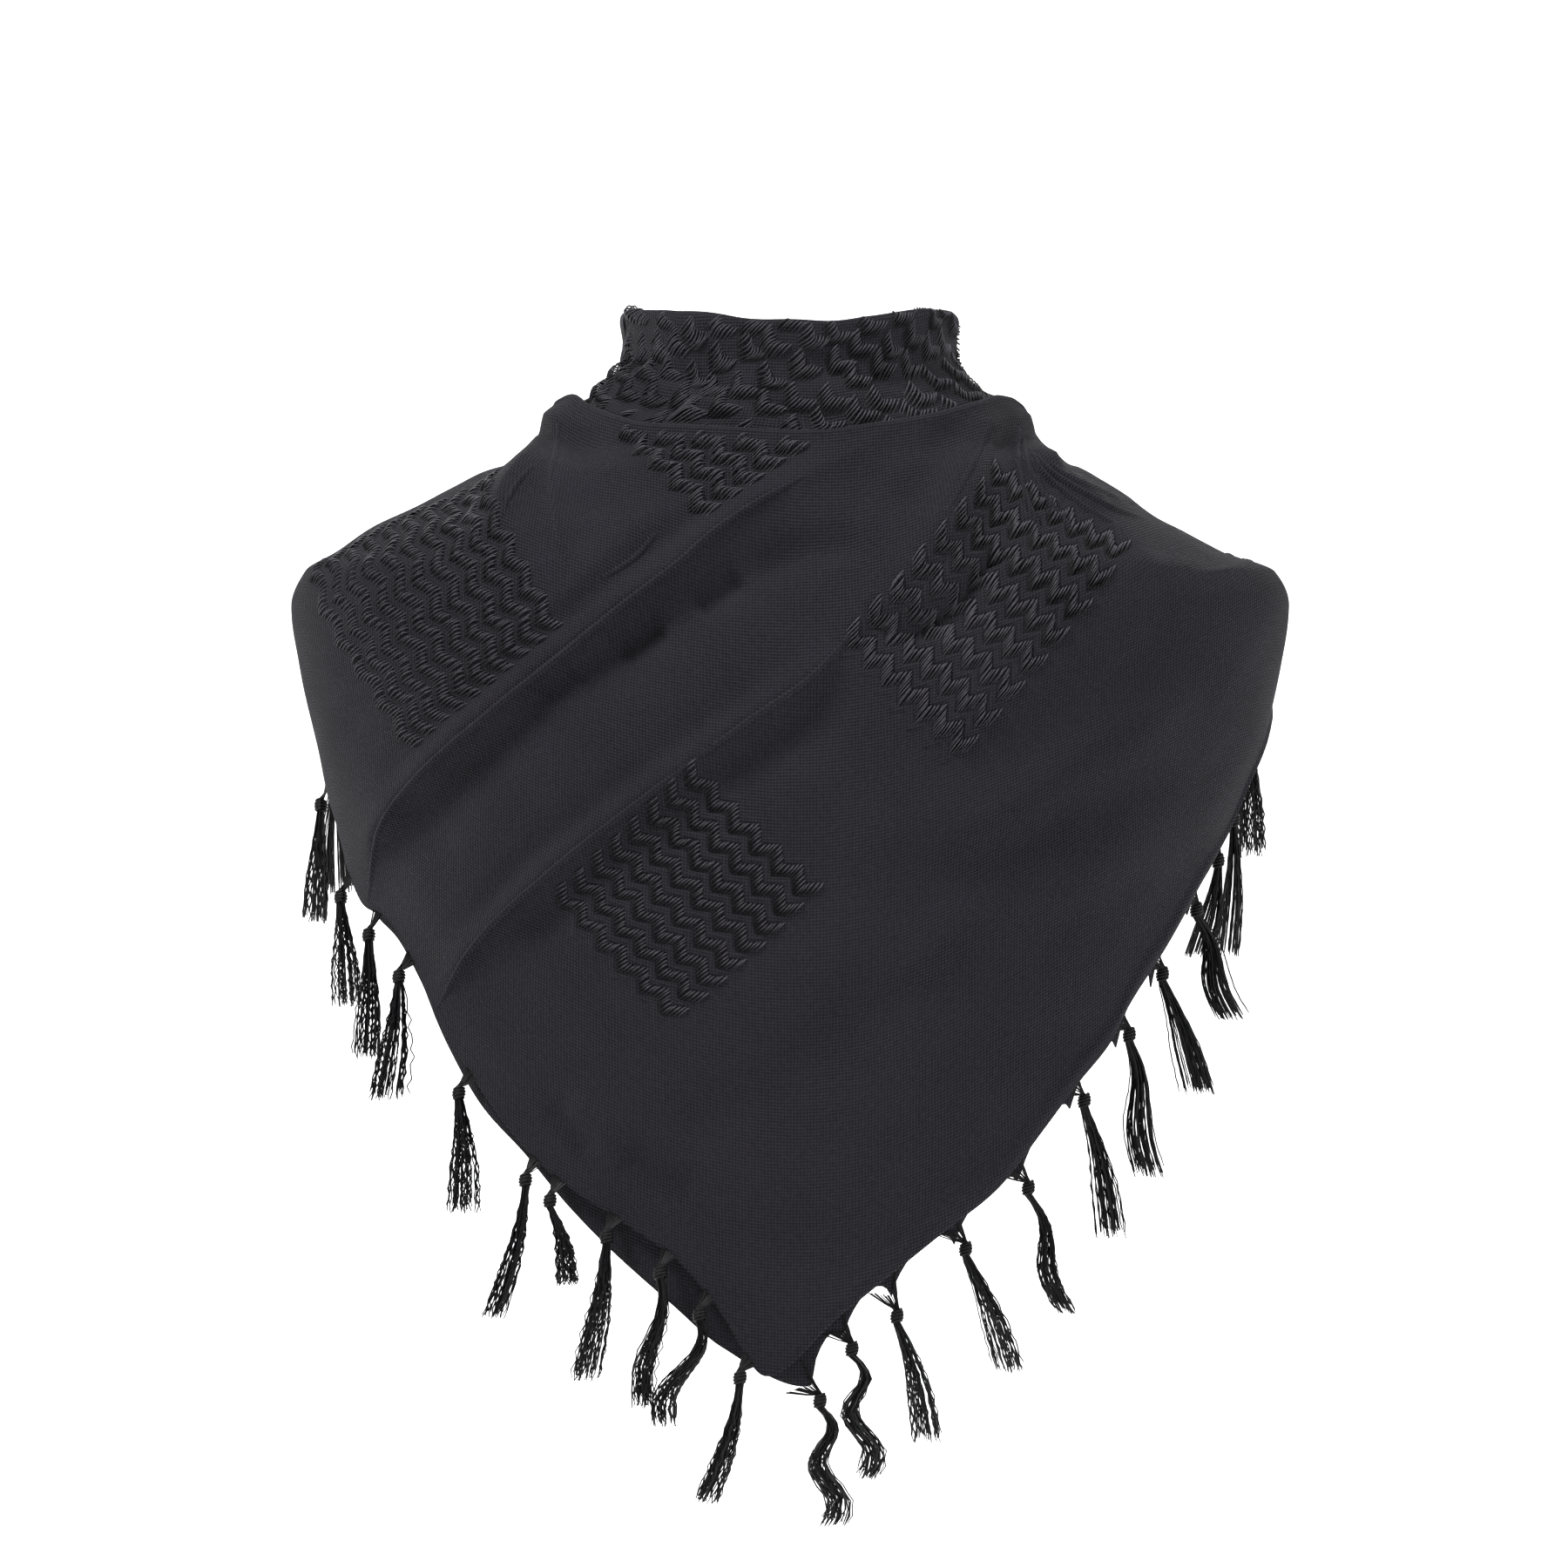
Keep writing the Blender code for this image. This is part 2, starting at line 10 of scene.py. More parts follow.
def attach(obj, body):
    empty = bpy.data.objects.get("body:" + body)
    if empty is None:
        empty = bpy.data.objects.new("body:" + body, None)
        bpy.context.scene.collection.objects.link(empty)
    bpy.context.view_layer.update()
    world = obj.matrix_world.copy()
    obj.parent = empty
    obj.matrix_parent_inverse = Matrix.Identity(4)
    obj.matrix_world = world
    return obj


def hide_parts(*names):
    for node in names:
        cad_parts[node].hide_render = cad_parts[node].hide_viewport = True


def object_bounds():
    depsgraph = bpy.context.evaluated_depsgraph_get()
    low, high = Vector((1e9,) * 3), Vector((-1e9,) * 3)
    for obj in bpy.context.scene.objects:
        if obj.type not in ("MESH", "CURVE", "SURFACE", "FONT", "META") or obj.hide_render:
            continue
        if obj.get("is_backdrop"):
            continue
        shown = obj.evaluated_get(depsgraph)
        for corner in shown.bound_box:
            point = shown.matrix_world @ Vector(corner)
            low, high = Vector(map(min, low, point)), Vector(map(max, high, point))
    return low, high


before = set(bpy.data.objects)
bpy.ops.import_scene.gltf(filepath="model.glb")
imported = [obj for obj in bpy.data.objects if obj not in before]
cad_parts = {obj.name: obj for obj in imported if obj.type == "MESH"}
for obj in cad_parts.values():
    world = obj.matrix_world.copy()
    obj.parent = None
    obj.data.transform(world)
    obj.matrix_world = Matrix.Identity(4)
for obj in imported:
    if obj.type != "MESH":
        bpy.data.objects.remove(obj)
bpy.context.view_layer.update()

# The outer layer of the folded square: soft black cotton that hangs from a turned edge round
# the neck, over the chest, both shoulders and the back. Its longest creases run from the left
# hem up to the right of the neck, and small gathers fan out below the two raised corners.
MM = 0.001
FOLD_RADIUS = 2.4 * MM
FOLD_TUCK = 7.0 * MM
FRONT_END, BACK_END = 88.0, 166.0
FRONT_COLUMNS, SIDE_COLUMNS = 320, 56
FOLD_ROWS, DRAPE_ROWS = 9, 208
HEM_TURN = 0.9 * MM
HEM_RETURN = 4.0 * MM
HEM_ROLL_WIDTH, HEM_ROLL_HEIGHT = 14.0 * MM, 1.5 * MM
OUTLINE_POINTS = 240
BEND_ROWS = 30.0 * MM
SIDE_BLEND = 20.0 * MM

# z, then half widths left and right and half depths front and back, in mm
SECTIONS = (
    (50, 98, 98, 84, 79), (18, 104, 105, 87, 82), (6, 108, 108, 89, 85), (-6, 114, 114, 93, 88),
    (-18, 148, 137, 98, 92), (-33, 175, 163, 105, 97), (-44, 197, 184, 110, 101),
    (-55, 214, 206, 114, 105), (-64, 228, 228, 117, 108), (-80, 234.5, 235, 122, 112),
    (-107, 231, 231, 129, 118), (-140, 224.5, 224.5, 136, 122), (-165, 218.5, 217, 140, 124),
    (-200, 209, 206, 144, 126), (-250, 202, 198, 147, 128), (-300, 198, 194, 149, 128),
    (-450, 190, 190, 147, 128),
)
# angle from the front centre, then height of the turned edge in mm
TOP_EDGE = (
    (-180, -10), (-120, -10), (-103, -5), (-90, 9), (-76, 18), (-66, 14), (-50, 8), (-40, 4.5),
    (-16, 1.6), (6, 0), (23, 3.7), (35, 7.4), (58, 15), (70, 18), (79, 17), (90, 6), (103, -5),
    (120, -10), (180, -10),
)
# x and z of the hems as seen from the front, in mm
FRONT_HEM = (
    (-207, -202), (-199, -220), (-187, -228), (-175, -247), (-163, -273), (-146, -301),
    (-116, -338), (-77, -365), (-52, -382), (-32, -406), (-11, -435), (22, -408), (42, -392),
    (71, -369), (95, -350), (116, -324), (132, -303), (149, -282), (157, -266), (173, -242),
    (190, -213), (202, -193), (214, -166),
)
UNDER_HEM = (
    (-206, -206), (-198, -225), (-187, -236), (-175, -256), (-162, -285), (-146, -312),
    (-126, -333), (-105, -357), (-85, -377), (-56, -402), (-32, -422), (7, -440), (28, -419),
    (47, -402), (77, -378), (101, -357), (122, -331), (138, -309), (154, -289), (163, -272),
    (179, -247), (194, -220), (204, -200), (215, -172),
)
# angle, then height of the left and the right hem behind the shoulders
BACK_HEM = ((91, -172, -140), (105, -150, -132), (120, -124, -116), (135, -98, -94),
            (150, -69, -68), (180, -20, -20))
# side, height, width on the left and on the right of the route, crest, and the route in mm.
# A crest of 2 is round and one near 1 is sharp.
CREASES = (
    ("front", 4.6, 11, 6, 1.5, ((-198, -222), (-193, -189), (-178, -166), (-139, -131),
                                (-104, -103), (-52, -62), (-19, -36), (38, -6))),
    ("front", -2.6, 6, 6, 2, ((-184, -156), (-146, -121), (-111, -93), (-59, -52), (-28, -27))),
    ("front", -2.2, 6, 6, 2, ((-154, -232), (-116, -194), (-51, -143), (0, -107))),
    ("front", -5.0, 12, 15, 2, ((-186, -209), (-150, -163), (-109, -126), (-64, -96),
                                (-28, -71), (22, -52))),
    ("front", 4.0, 11, 6, 1.5, ((-165, -270), (-148, -242), (-109, -203), (-44, -153), (9, -115),
                                (63, -57), (98, -14))),
    ("front", -3.6, 10, 14, 2, ((-134, -252), (-92, -210), (-30, -163), (26, -124))),
    ("front", -3.4, 10, 8, 2, ((-120, -120), (-100, -106))),
    ("front", -4.6, 10, 8, 2, ((-82, -102), (-58, -88))),
    ("front", -4.6, 10, 8, 2, ((-46, -82), (-22, -66))),
    ("front", -3.8, 10, 8, 2, ((-16, -64), (8, -54), (34, -54))),
    ("front", -3.4, 10, 8, 2, ((18, -104), (44, -86))),
    ("front", 8.0, 5.5, 11, 1.5, ((-102, 18), (-111, 0), (-119, -13), (-129, -26), (-137, -44))),
    ("front", -4.0, 9, 9, 2, ((-122, 4), (-137, -10), (-150, -26), (-158, -44))),
    ("front", 2.6, 5, 5, 1.5, ((-104, 14), (-106, 0), (-107, -20), (-109, -34), (-104, -66))),
    ("front", 3.0, 9, 9, 1.7, ((-132, -37), (-116, -56), (-104, -76), (-80, -54), (-58, -36))),
    ("front", -1.6, 8, 8, 2, ((-94, 4), (-92, -20), (-90, -42))),
    ("front", 6.0, 9, 5.5, 1.5, ((106, 16), (108, -3), (114, -12), (124, -22))),
    ("front", 3.0, 8, 6, 1.6, ((93, 14), (84, -8), (74, -31), (60, -56))),
    ("front", 1.6, 4, 4, 1.5, ((98, 10), (91, -12), (82, -34))),
    ("front", -1.8, 8, 8, 2, ((76, 6), (66, -16), (50, -40))),
    ("front", 2.4, 3.6, 3.6, 1.5, ((103, -12), (105, -18), (110, -34), (112, -46))),
    ("front", 2.4, 3.6, 3.6, 1.5, ((106, -12), (113, -28), (122, -40))),
    ("front", 3.0, 3.8, 3.8, 1.5, ((108, -10), (121, -22), (135, -31), (150, -39))),
    ("front", 2.6, 3.8, 3.8, 1.5, ((116, -14), (130, -25), (141, -30), (160, -37))),
    ("front", 2.0, 4, 4, 1.6, ((128, -17), (146, -24), (166, -31))),
    ("front", -4.0, 12, 12, 2, ((103, -30), (91, -64), (74, -85), (48, -99))),
    ("front", -4.6, 4.6, 4.6, 1.4, ((95, -56), (90, -64), (76, -83), (50, -98))),
    ("front", 2.0, 6, 6, 1.7, ((84, -60), (62, -76), (42, -86))),
    ("front", -3.0, 16, 16, 2, ((77, -158), (141, -124), (186, -92))),
    ("front", 2.6, 12, 12, 2, ((60, -190), (120, -160), (190, -118))),
    ("front", -2.2, 12, 12, 2, ((64, -214), (124, -184), (196, -150))),
    ("front", 2.0, 12, 12, 2, ((44, -252), (104, -222), (178, -186))),
    ("front", -2.5, 11, 11, 2, ((190, -34), (197, -50), (200, -64))),
    ("front", 2.5, 9, 9, 1.8, ((125, -22), (150, -44), (172, -70))),
    ("front", -2.0, 14, 14, 2, ((-40, -320), (10, -290), (70, -250), (130, -200))),
    ("front", -2.6, 6, 6, 2, ((-112, -310), (-100, -324), (-94, -336))),
    ("front", 2.2, 6, 6, 1.8, ((-100, -304), (-84, -322), (-78, -342))),
    ("front", -2.8, 7, 7, 2, ((-78, -332), (-58, -346), (-42, -350))),
    ("front", 1.2, 8, 8, 2, ((-60, -322), (-40, -342), (-30, -372))),
    ("front", 1.4, 11, 11, 2, ((-196, -96), (-170, -118), (-138, -160))),
    ("front", -1.2, 10, 10, 2, ((-212, -130), (-186, -150), (-170, -190))),
    ("back", 5.0, 10, 8, 1.7, ((-22, -18), (-80, -34), (-140, -58), (-205, -90))),
    ("back", -3.5, 10, 10, 2, ((-26, -30), (-86, -56), (-150, -84), (-205, -122))),
    ("back", 4.0, 11, 8, 1.7, ((22, -16), (78, -30), (140, -52), (206, -78))),
    ("back", -3.0, 10, 10, 2, ((28, -30), (84, -54), (146, -80), (206, -112))),
    ("back", 3.5, 10, 8, 1.7, ((34, -44), (92, -78), (150, -104), (200, -136))),
    ("back", 1.6, 6, 6, 1.8, ((-60, -52), (-104, -78), (-160, -104))),
    ("back", 1.4, 6, 6, 1.8, ((120, -62), (160, -84), (196, -104))),
)


def smooth(table, value, column=1):
    """Read a column of a table at a value of its first column, on a smooth curve."""
    keys = np.array([row[0] for row in table], dtype=float)
    heights = np.array([row[column] for row in table], dtype=float)
    rates = np.diff(heights) / np.diff(keys)
    product = rates[:-1] * rates[1:]
    total = np.where(product > 0, rates[:-1] + rates[1:], 1.0)
    inner = np.where(product > 0, 2.0 * product / total, 0.0)
    slopes = np.concatenate([rates[:1], inner, rates[-1:]])
    value = np.clip(value, keys[0], keys[-1])
    index = np.clip(np.searchsorted(keys, value, side="right") - 1, 0, len(keys) - 2)
    span = keys[index + 1] - keys[index]
    t = (value - keys[index]) / span
    rise = heights[index] * (1 + 2 * t) * (1 - t) ** 2 + heights[index + 1] * t * t * (3 - 2 * t)
    lean = slopes[index] * t * (1 - t) ** 2 - slopes[index + 1] * t * t * (1 - t)
    return rise + lean * span


def section(angle, z):
    """Point of the draped cloth's outline at an angle in degrees and a height in metres."""
    turn = np.radians(angle)
    side, ahead = np.sin(turn), np.cos(turn)
    rows = SECTIONS[::-1]
    height = z / MM
    wide = np.where(side < 0, smooth(rows, height, 1), smooth(rows, height, 2))
    deep = np.where(ahead > 0, smooth(rows, height, 3), smooth(rows, height, 4))
    return np.stack([wide * side * MM, -deep * ahead * MM, z + 0 * side], axis=-1)


def hem_table(front_rows):
    """Hem heights by angle, from the rows seen from the front and those behind."""
    heights = []
    for x, z in front_rows:
        half = smooth(SECTIONS[::-1], z, 1 if x < 0 else 2)
        heights.append((math.degrees(math.asin(max(-1.0, min(1.0, x / half)))), z))
    behind_left = [(-row[0], row[1]) for row in BACK_HEM[::-1]]
    behind_right = [(row[0], row[2]) for row in BACK_HEM]
    return behind_left + heights + behind_right


def beside(places, start, end):
    """How far along a straight stretch each place is, as a share, and how far off it."""
    along = end - start
    t = np.clip(((places - start) @ along) / (along @ along), 0.0, 1.0)
    return t, np.linalg.norm(places - (start + t[..., None] * along), axis=-1)


def crease_heights(points, share_of_ridges=1.0, share_of_troughs=1.0):
    """Height of all ridges and troughs at each point of a grid."""
    total = np.zeros(points.shape[:-1])
    flat = points[..., [0, 2]]
    for side, height, left, right, crest, route in CREASES:
        facing = -points[..., 1] if side == "front" else points[..., 1]
        weight = np.clip(facing / SIDE_BLEND + 0.5, 0.0, 1.0)
        nearest = np.full(total.shape, np.inf)
        ends = np.ones(total.shape)
        width = np.ones(total.shape)
        stops = [np.array(stop, dtype=float) * MM for stop in route]
        for number, (start, end) in enumerate(zip(stops, stops[1:])):
            t, apart = beside(flat, start, end)
            along = end - start
            turn = along[0] * (flat[..., 1] - start[1]) - along[1] * (flat[..., 0] - start[0])
            # a crease dies out over the first and last stretch of its route
            place = (number + t) / (len(stops) - 1)
            fade = np.clip(np.minimum(place, 1.0 - place) * 5.0 + 0.25, 0.0, 1.0)
            closer = apart < nearest
            ends = np.where(closer, fade, ends)
            width = np.where(closer, np.where(turn > 0, left, right), width)
            nearest = np.minimum(nearest, apart)
        share = share_of_ridges if height > 0 else share_of_troughs
        profile = np.exp(-(nearest / (width * MM)) ** crest)
        total += share * height * MM * weight * ends * profile
    return total


def ripples(across, down, size, seed, count=14, shortest=22.0, longest=75.0):
    """Small uneven waves of hanging cloth, mostly along the bias of the weave."""
    rng = random.Random(seed)
    total = np.zeros(np.shape(across))
    for _ in range(count):
        length = rng.uniform(shortest, longest) * MM
        turn = math.radians(rng.choice((40, 50, 90, 130)) + rng.uniform(-18, 18))
        phase = rng.uniform(0, 2 * math.pi)
        step = (across * math.cos(turn) + down * math.sin(turn)) / length
        total += np.sin(2 * math.pi * step + phase) * (length / (longest * MM)) ** 0.7
    return total * size / math.sqrt(count)


def unit(vectors):
    """The same directions at a length of 1."""
    return vectors / np.linalg.norm(vectors, axis=-1, keepdims=True)


def grid_normals(grid):
    """Outward normals of a grid of points whose columns go round and rows go down."""
    return unit(np.cross(np.gradient(grid, axis=1), np.gradient(grid, axis=0)))


# arc length round each section from the front centre, at 1 degree and 4 mm steps
GIRTH_ANGLES = np.arange(-180.0, 181.0)
GIRTH_HEIGHTS = np.arange(-460.0, 64.0, 4.0) * MM
girths = section(GIRTH_ANGLES[:, None], GIRTH_HEIGHTS[None, :])
girths = np.concatenate([np.zeros((1, len(GIRTH_HEIGHTS))),
                         np.cumsum(np.linalg.norm(np.diff(girths, axis=0), axis=-1), axis=0)])
girths -= girths[180]
# where the front corner of the square lies on the flat cloth
TIP_ACROSS, TIP_DOWN = -11.0 * MM, 444.0 * MM


def lengths_along(points):
    """Length along a line of points, from its start to each of them."""
    return np.concatenate([[0.0], np.cumsum(np.linalg.norm(np.diff(points, axis=0), axis=-1))])


def draped_grid(angles, top, hem, rows):
    """Rows of points down the outline, closer where it bends, and their places laid flat."""
    grid, flat = [], []
    for angle in angles:
        upper = top(angle) * MM
        lower = smooth(hem, angle) * MM
        line = section(np.full(OUTLINE_POINTS, angle), np.linspace(upper, lower, OUTLINE_POINTS))
        steps = np.linalg.norm(np.diff(line, axis=0), axis=-1)
        heads = np.diff(line, axis=0) / steps[:, None]
        bends = np.zeros(OUTLINE_POINTS - 1)
        bends[1:] = np.arccos(np.clip(np.sum(heads[1:] * heads[:-1], axis=-1), -1.0, 1.0))
        length = np.concatenate([[0.0], np.cumsum(steps + BEND_ROWS * bends)])
        wanted = length[-1] * np.linspace(0.0, 1.0, rows)
        column = np.stack([np.interp(wanted, length, line[:, k]) for k in range(3)], axis=-1)
        girth = [np.interp(angle, GIRTH_ANGLES, row) for row in girths.T]
        across = np.interp(column[:, 2], GIRTH_HEIGHTS, girth)
        grid.append(column)
        flat.append(np.stack([across, np.interp(wanted, length, lengths_along(line))], axis=-1))
    return np.array(grid), np.array(flat)


def turned_hem(body, flat):
    """Two rows below a body: the thin edge of its hem and the turning behind it."""
    turned = body[:, -1] - grid_normals(body)[:, -1] * HEM_TURN
    upward = unit(body[:, -2] - body[:, -1])
    rows = np.stack([turned, turned + upward * HEM_RETURN], axis=1)
    below = np.repeat(flat[:, -1:], 2, axis=1) + np.array(((0, HEM_TURN), (0, HEM_RETURN)))
    return rows, below


def thread_places(flat):
    """Places along the two thread directions, in metres from the front corner."""
    up = TIP_DOWN - flat[..., 1]
    aside = flat[..., 0] - TIP_ACROSS
    return np.stack([up - aside, up + aside], axis=-1) / math.sqrt(2.0)


def placed(name, data):
    """A new object for a mesh, a lamp or a camera, put into the scene."""
    made = bpy.data.objects.new(name, data)
    bpy.context.collection.objects.link(made)
    return made


def cloth_object(name, points, quads, at_corners, finish):
    """A smooth sheet of quads with the thread places of its corners as a UV map."""
    mesh = bpy.data.meshes.new(name)
    mesh.from_pydata(points, [], quads)
    layer = mesh.uv_layers.new(name="threads")
    layer.data.foreach_set("uv", at_corners.astype(np.float32).reshape(-1))
    mesh.shade_smooth()
    mesh.materials.append(finish)
    return placed(name, mesh)


def grid_object(name, grid, places, finish, ring=False):
    """A sheet through a grid of points. A ring joins its last column to its first."""
    columns, rows = grid.shape[:2]
    last = columns if ring else columns - 1
    i, k = np.meshgrid(np.arange(last), np.arange(rows - 1), indexing="ij")
    j = (i + 1) % columns
    quads = np.stack([i * rows + k, i * rows + k + 1, j * rows + k + 1, j * rows + k], axis=-1)
    quads = quads.reshape(-1, 4)
    at_corners = places.reshape(-1, 2)[quads.reshape(-1)]
    if ring:
        seam = (quads.reshape(-1) < rows) & (np.repeat(i.reshape(-1), 4) == last - 1)
        at_corners[seam] += (places[-1] - places[0] + places[1] - places[0]).mean(axis=0)
    return cloth_object(name, grid.reshape(-1, 3).tolist(), quads.tolist(), at_corners, finish)


def new_nodes(tree, kinds):
    """Add nodes from rows of short name, node type and, for a sum, its operation."""
    n = {}
    for short, kind, *operation in kinds:
        n[short] = tree.nodes.new(kind)
        if operation:
            n[short].operation = operation[0]
        if kind == "ShaderNodeMix":
            n[short].data_type = "RGBA"
    return n


def set_and_join(tree, n, values, links):
    """Set inputs of named nodes, then join outputs to inputs, from two tables."""
    for short, socket, value in values:
        n[short].inputs[socket].default_value = value
    for start, output, end, socket in links:
        tree.links.new(n[start].outputs[output], n[end].inputs[socket])


def weave_group():
    """Plain weave: over-and-under threads with slubs, as a height and a mask of painted light and
    shade taken from that height.
    """
    group = bpy.data.node_groups.new("plain_weave", "ShaderNodeTree")
    for name, kind in (("Threads", "NodeSocketVector"), ("Pitch", "NodeSocketFloat"),
                       ("Unevenness", "NodeSocketFloat")):
        group.interface.new_socket(name, in_out="INPUT", socket_type=kind)
    for name in ("Height", "Mask"):
        group.interface.new_socket(name, in_out="OUTPUT", socket_type="NodeSocketFloat")
    n = new_nodes(group, (
        ("source", "NodeGroupInput"), ("result", "NodeGroupOutput"),
        ("noise", "ShaderNodeTexNoise"), ("warp", "ShaderNodeVectorMath", "SCALE"),
        ("shift", "ShaderNodeVectorMath", "ADD"), ("scaled", "ShaderNodeVectorMath", "DIVIDE"),
        ("split", "ShaderNodeSeparateXYZ"),
        ("turns_a", "ShaderNodeMath", "MULTIPLY"), ("sine_a", "ShaderNodeMath", "SINE"),
        ("turns_b", "ShaderNodeMath", "MULTIPLY"), ("sine_b", "ShaderNodeMath", "SINE"),
        ("cross", "ShaderNodeMath", "MULTIPLY"), ("slub", "ShaderNodeTexNoise"),
        ("slub_share", "ShaderNodeMath", "MULTIPLY_ADD"), ("height", "ShaderNodeMath", "ADD"),
        ("mask", "ShaderNodeMapRange"),
    ))
    set_and_join(group, n, (
        ("noise", "Scale", 60.0), ("noise", "Detail", 2.0),
        ("turns_a", 1, math.pi), ("turns_b", 1, math.pi),
        ("slub", "Scale", 420.0), ("slub", "Detail", 3.0),
        ("slub_share", 1, 1.4), ("slub_share", 2, -0.7),
        ("mask", "From Min", -1.2), ("mask", "From Max", 1.2),
    ), (
        ("source", "Threads", "noise", "Vector"), ("noise", "Color", "warp", 0),
        ("source", "Unevenness", "warp", "Scale"), ("source", "Threads", "shift", 0),
        ("warp", 0, "shift", 1), ("shift", 0, "scaled", 0), ("source", "Pitch", "scaled", 1),
        ("scaled", 0, "split", 0),
        ("split", "X", "turns_a", 0), ("turns_a", 0, "sine_a", 0), ("sine_a", 0, "cross", 0),
        ("split", "Y", "turns_b", 0), ("turns_b", 0, "sine_b", 0), ("sine_b", 0, "cross", 1),
        ("source", "Threads", "slub", "Vector"), ("slub", "Fac", "slub_share", 0),
        ("cross", 0, "height", 0), ("slub_share", 0, "height", 1),
        ("height", 0, "mask", "Value"), ("height", 0, "result", "Height"),
        ("mask", "Result", "result", "Mask"),
    ))
    return group


WEAVE = weave_group()
WEAVE_PITCH = 1.05 * MM
WEAVE_UNEVENNESS = 0.0011


def new_material(name, kinds):
    """A material and its nodes by short name, with its shader among them."""
    made = bpy.data.materials.new(name)
    made.use_nodes = True
    n = new_nodes(made.node_tree, kinds)
    n["shader"] = made.node_tree.nodes["Principled BSDF"]
    return made, n


def cloth_material(name, dark, light, bump):
    """Black cotton: weave relief with painted shade in its low places and painted light on its
    thread tops, and a soft sheen.
    """
    made, n = new_material(name, (
        ("places", "ShaderNodeUVMap"), ("weave", "ShaderNodeGroup"), ("colour", "ShaderNodeMix"),
        ("patches", "ShaderNodeTexNoise"), ("fuzz", "ShaderNodeMath", "MULTIPLY"),
        ("worn", "ShaderNodeMix"), ("rough", "ShaderNodeMapRange"), ("bump", "ShaderNodeBump"),
    ))
    n["places"].uv_map = "threads"
    n["weave"].node_tree = WEAVE
    # the weave's mask mixes the dark and light colours: painted shade in the weave's low places,
    # painted light on its thread tops
    set_and_join(made.node_tree, n, (
        ("weave", "Pitch", WEAVE_PITCH), ("weave", "Unevenness", WEAVE_UNEVENNESS),
        ("colour", "A", (*dark, 1.0)), ("colour", "B", (*light, 1.0)),
        ("patches", "Scale", 26.0), ("patches", "Detail", 4.0), ("fuzz", 1, 0.35),
        ("worn", "B", (*[1.5 * c for c in light], 1.0)),
        ("rough", "To Min", 0.92), ("rough", "To Max", 0.74),
        ("bump", "Strength", bump), ("bump", "Distance", 0.3 * MM),
        ("shader", "Sheen Weight", 0.03), ("shader", "Sheen Roughness", 0.4),
        ("shader", "Specular IOR Level", 0.09),
    ), (
        ("places", "UV", "weave", "Threads"), ("places", "UV", "patches", "Vector"),
        ("weave", "Mask", "colour", "Factor"), ("patches", "Fac", "fuzz", 0),
        ("colour", "Result", "worn", "A"), ("fuzz", 0, "worn", "Factor"),
        ("worn", "Result", "shader", "Base Color"),
        ("weave", "Mask", "rough", "Value"), ("rough", "Result", "shader", "Roughness"),
        ("weave", "Height", "bump", "Height"), ("bump", "Normal", "shader", "Normal"),
    ))
    return made


cotton = cloth_material("black_cotton", (0.0010, 0.0010, 0.0013), (0.0176, 0.0167, 0.0217), 1.0)

front_angles = np.linspace(-FRONT_END, FRONT_END, FRONT_COLUMNS)
side_angles = np.linspace(FRONT_END, BACK_END, SIDE_COLUMNS + 1)[1:]
angles = np.concatenate([-side_angles[::-1], front_angles, side_angles])
base, flat = draped_grid(angles, lambda angle: smooth(TOP_EDGE, angle) - FOLD_RADIUS / MM,
                         hem_table(FRONT_HEM), DRAPE_ROWS)
flat[..., 1] += FOLD_RADIUS
lift = crease_heights(base) + ripples(flat[..., 0], flat[..., 1], 0.45 * MM, 3)
# the plain hem on the right rolls softly outwards
to_hem = (flat[:, -1:, 1] - flat[..., 1]) / HEM_ROLL_WIDTH
plain_side = np.clip((angles + 2.0) / 6.0, 0.0, 1.0)[:, None]
lift += HEM_ROLL_HEIGHT * plain_side * np.sin(math.pi * np.clip(to_hem, 0.0, 1.0)) ** 2
body = base + grid_normals(base) * lift[..., None]
outward = unit(body[:, 0] * (1.0, 1.0, 0.0))
fold_turns = np.linspace(math.pi, 0.0, FOLD_ROWS)[:-1]
fold = []
for turn in fold_turns:
    ring_point = body[:, 0] + outward * FOLD_RADIUS * (math.cos(turn) - 1.0)
    ring_point[:, 2] += FOLD_RADIUS * math.sin(turn)
    fold.append(ring_point)
tuck = fold[0] - np.array((0.0, 0.0, FOLD_TUCK - FOLD_RADIUS))
hem_rows, hem_flat = turned_hem(body, flat)
outer_grid = np.concatenate([np.stack([tuck, *fold], axis=1), body, hem_rows], axis=1)
above = -np.concatenate([[FOLD_RADIUS * math.pi + FOLD_TUCK], FOLD_RADIUS * fold_turns])
flat_above = flat[:, :1] + np.stack([0 * above, above], axis=-1)
outer_places = thread_places(np.concatenate([flat_above, flat, hem_flat], axis=1))
drape = grid_object("drape_outer_layer", outer_grid, outer_places, cotton)
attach(drape, "root")
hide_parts("drape_front")

# The second layer of the square lies just inside the first and peeps out along its hems. Its
# left edge is a plain selvedge and its right edge carries the fringe.
WALL = 1.2 * MM
LAYER_GAP = 3.3 * MM
UNDER_RIDGES, UNDER_TROUGHS = 0.3, 1.1
UNDER_COLUMNS, UNDER_ROWS = 500, 90
UNDER_TOP_DROP = 11.0
SCALLOP_DEPTH, SCALLOP_POWER = 15.0, 0.45
# x of the root, x and z of the strands' end from it, swing, all in mm; number of half swings
RIGHT_TASSELS = (
    (10, 6, -66, 5, 3), (24, 8, -68, 5.5, 3), (47, 14, -66, 3, 1), (77, 20, -65, 2, 1),
    (107, 17, -66, 4, 2), (132, 13, -72, 3, 1), (154, 9, -74, 3, 2), (171, 17, -64, 2, 1),
    (189, 16, -60, 4, 2), (201, -9, -54, 3, 1),
)
# first and last angle and number of the tassels round behind
RIGHT_BEHIND = (89.0, 157.0, 7)

under_angles = np.linspace(-BACK_END, BACK_END, UNDER_COLUMNS)
under_hem = hem_table(UNDER_HEM)
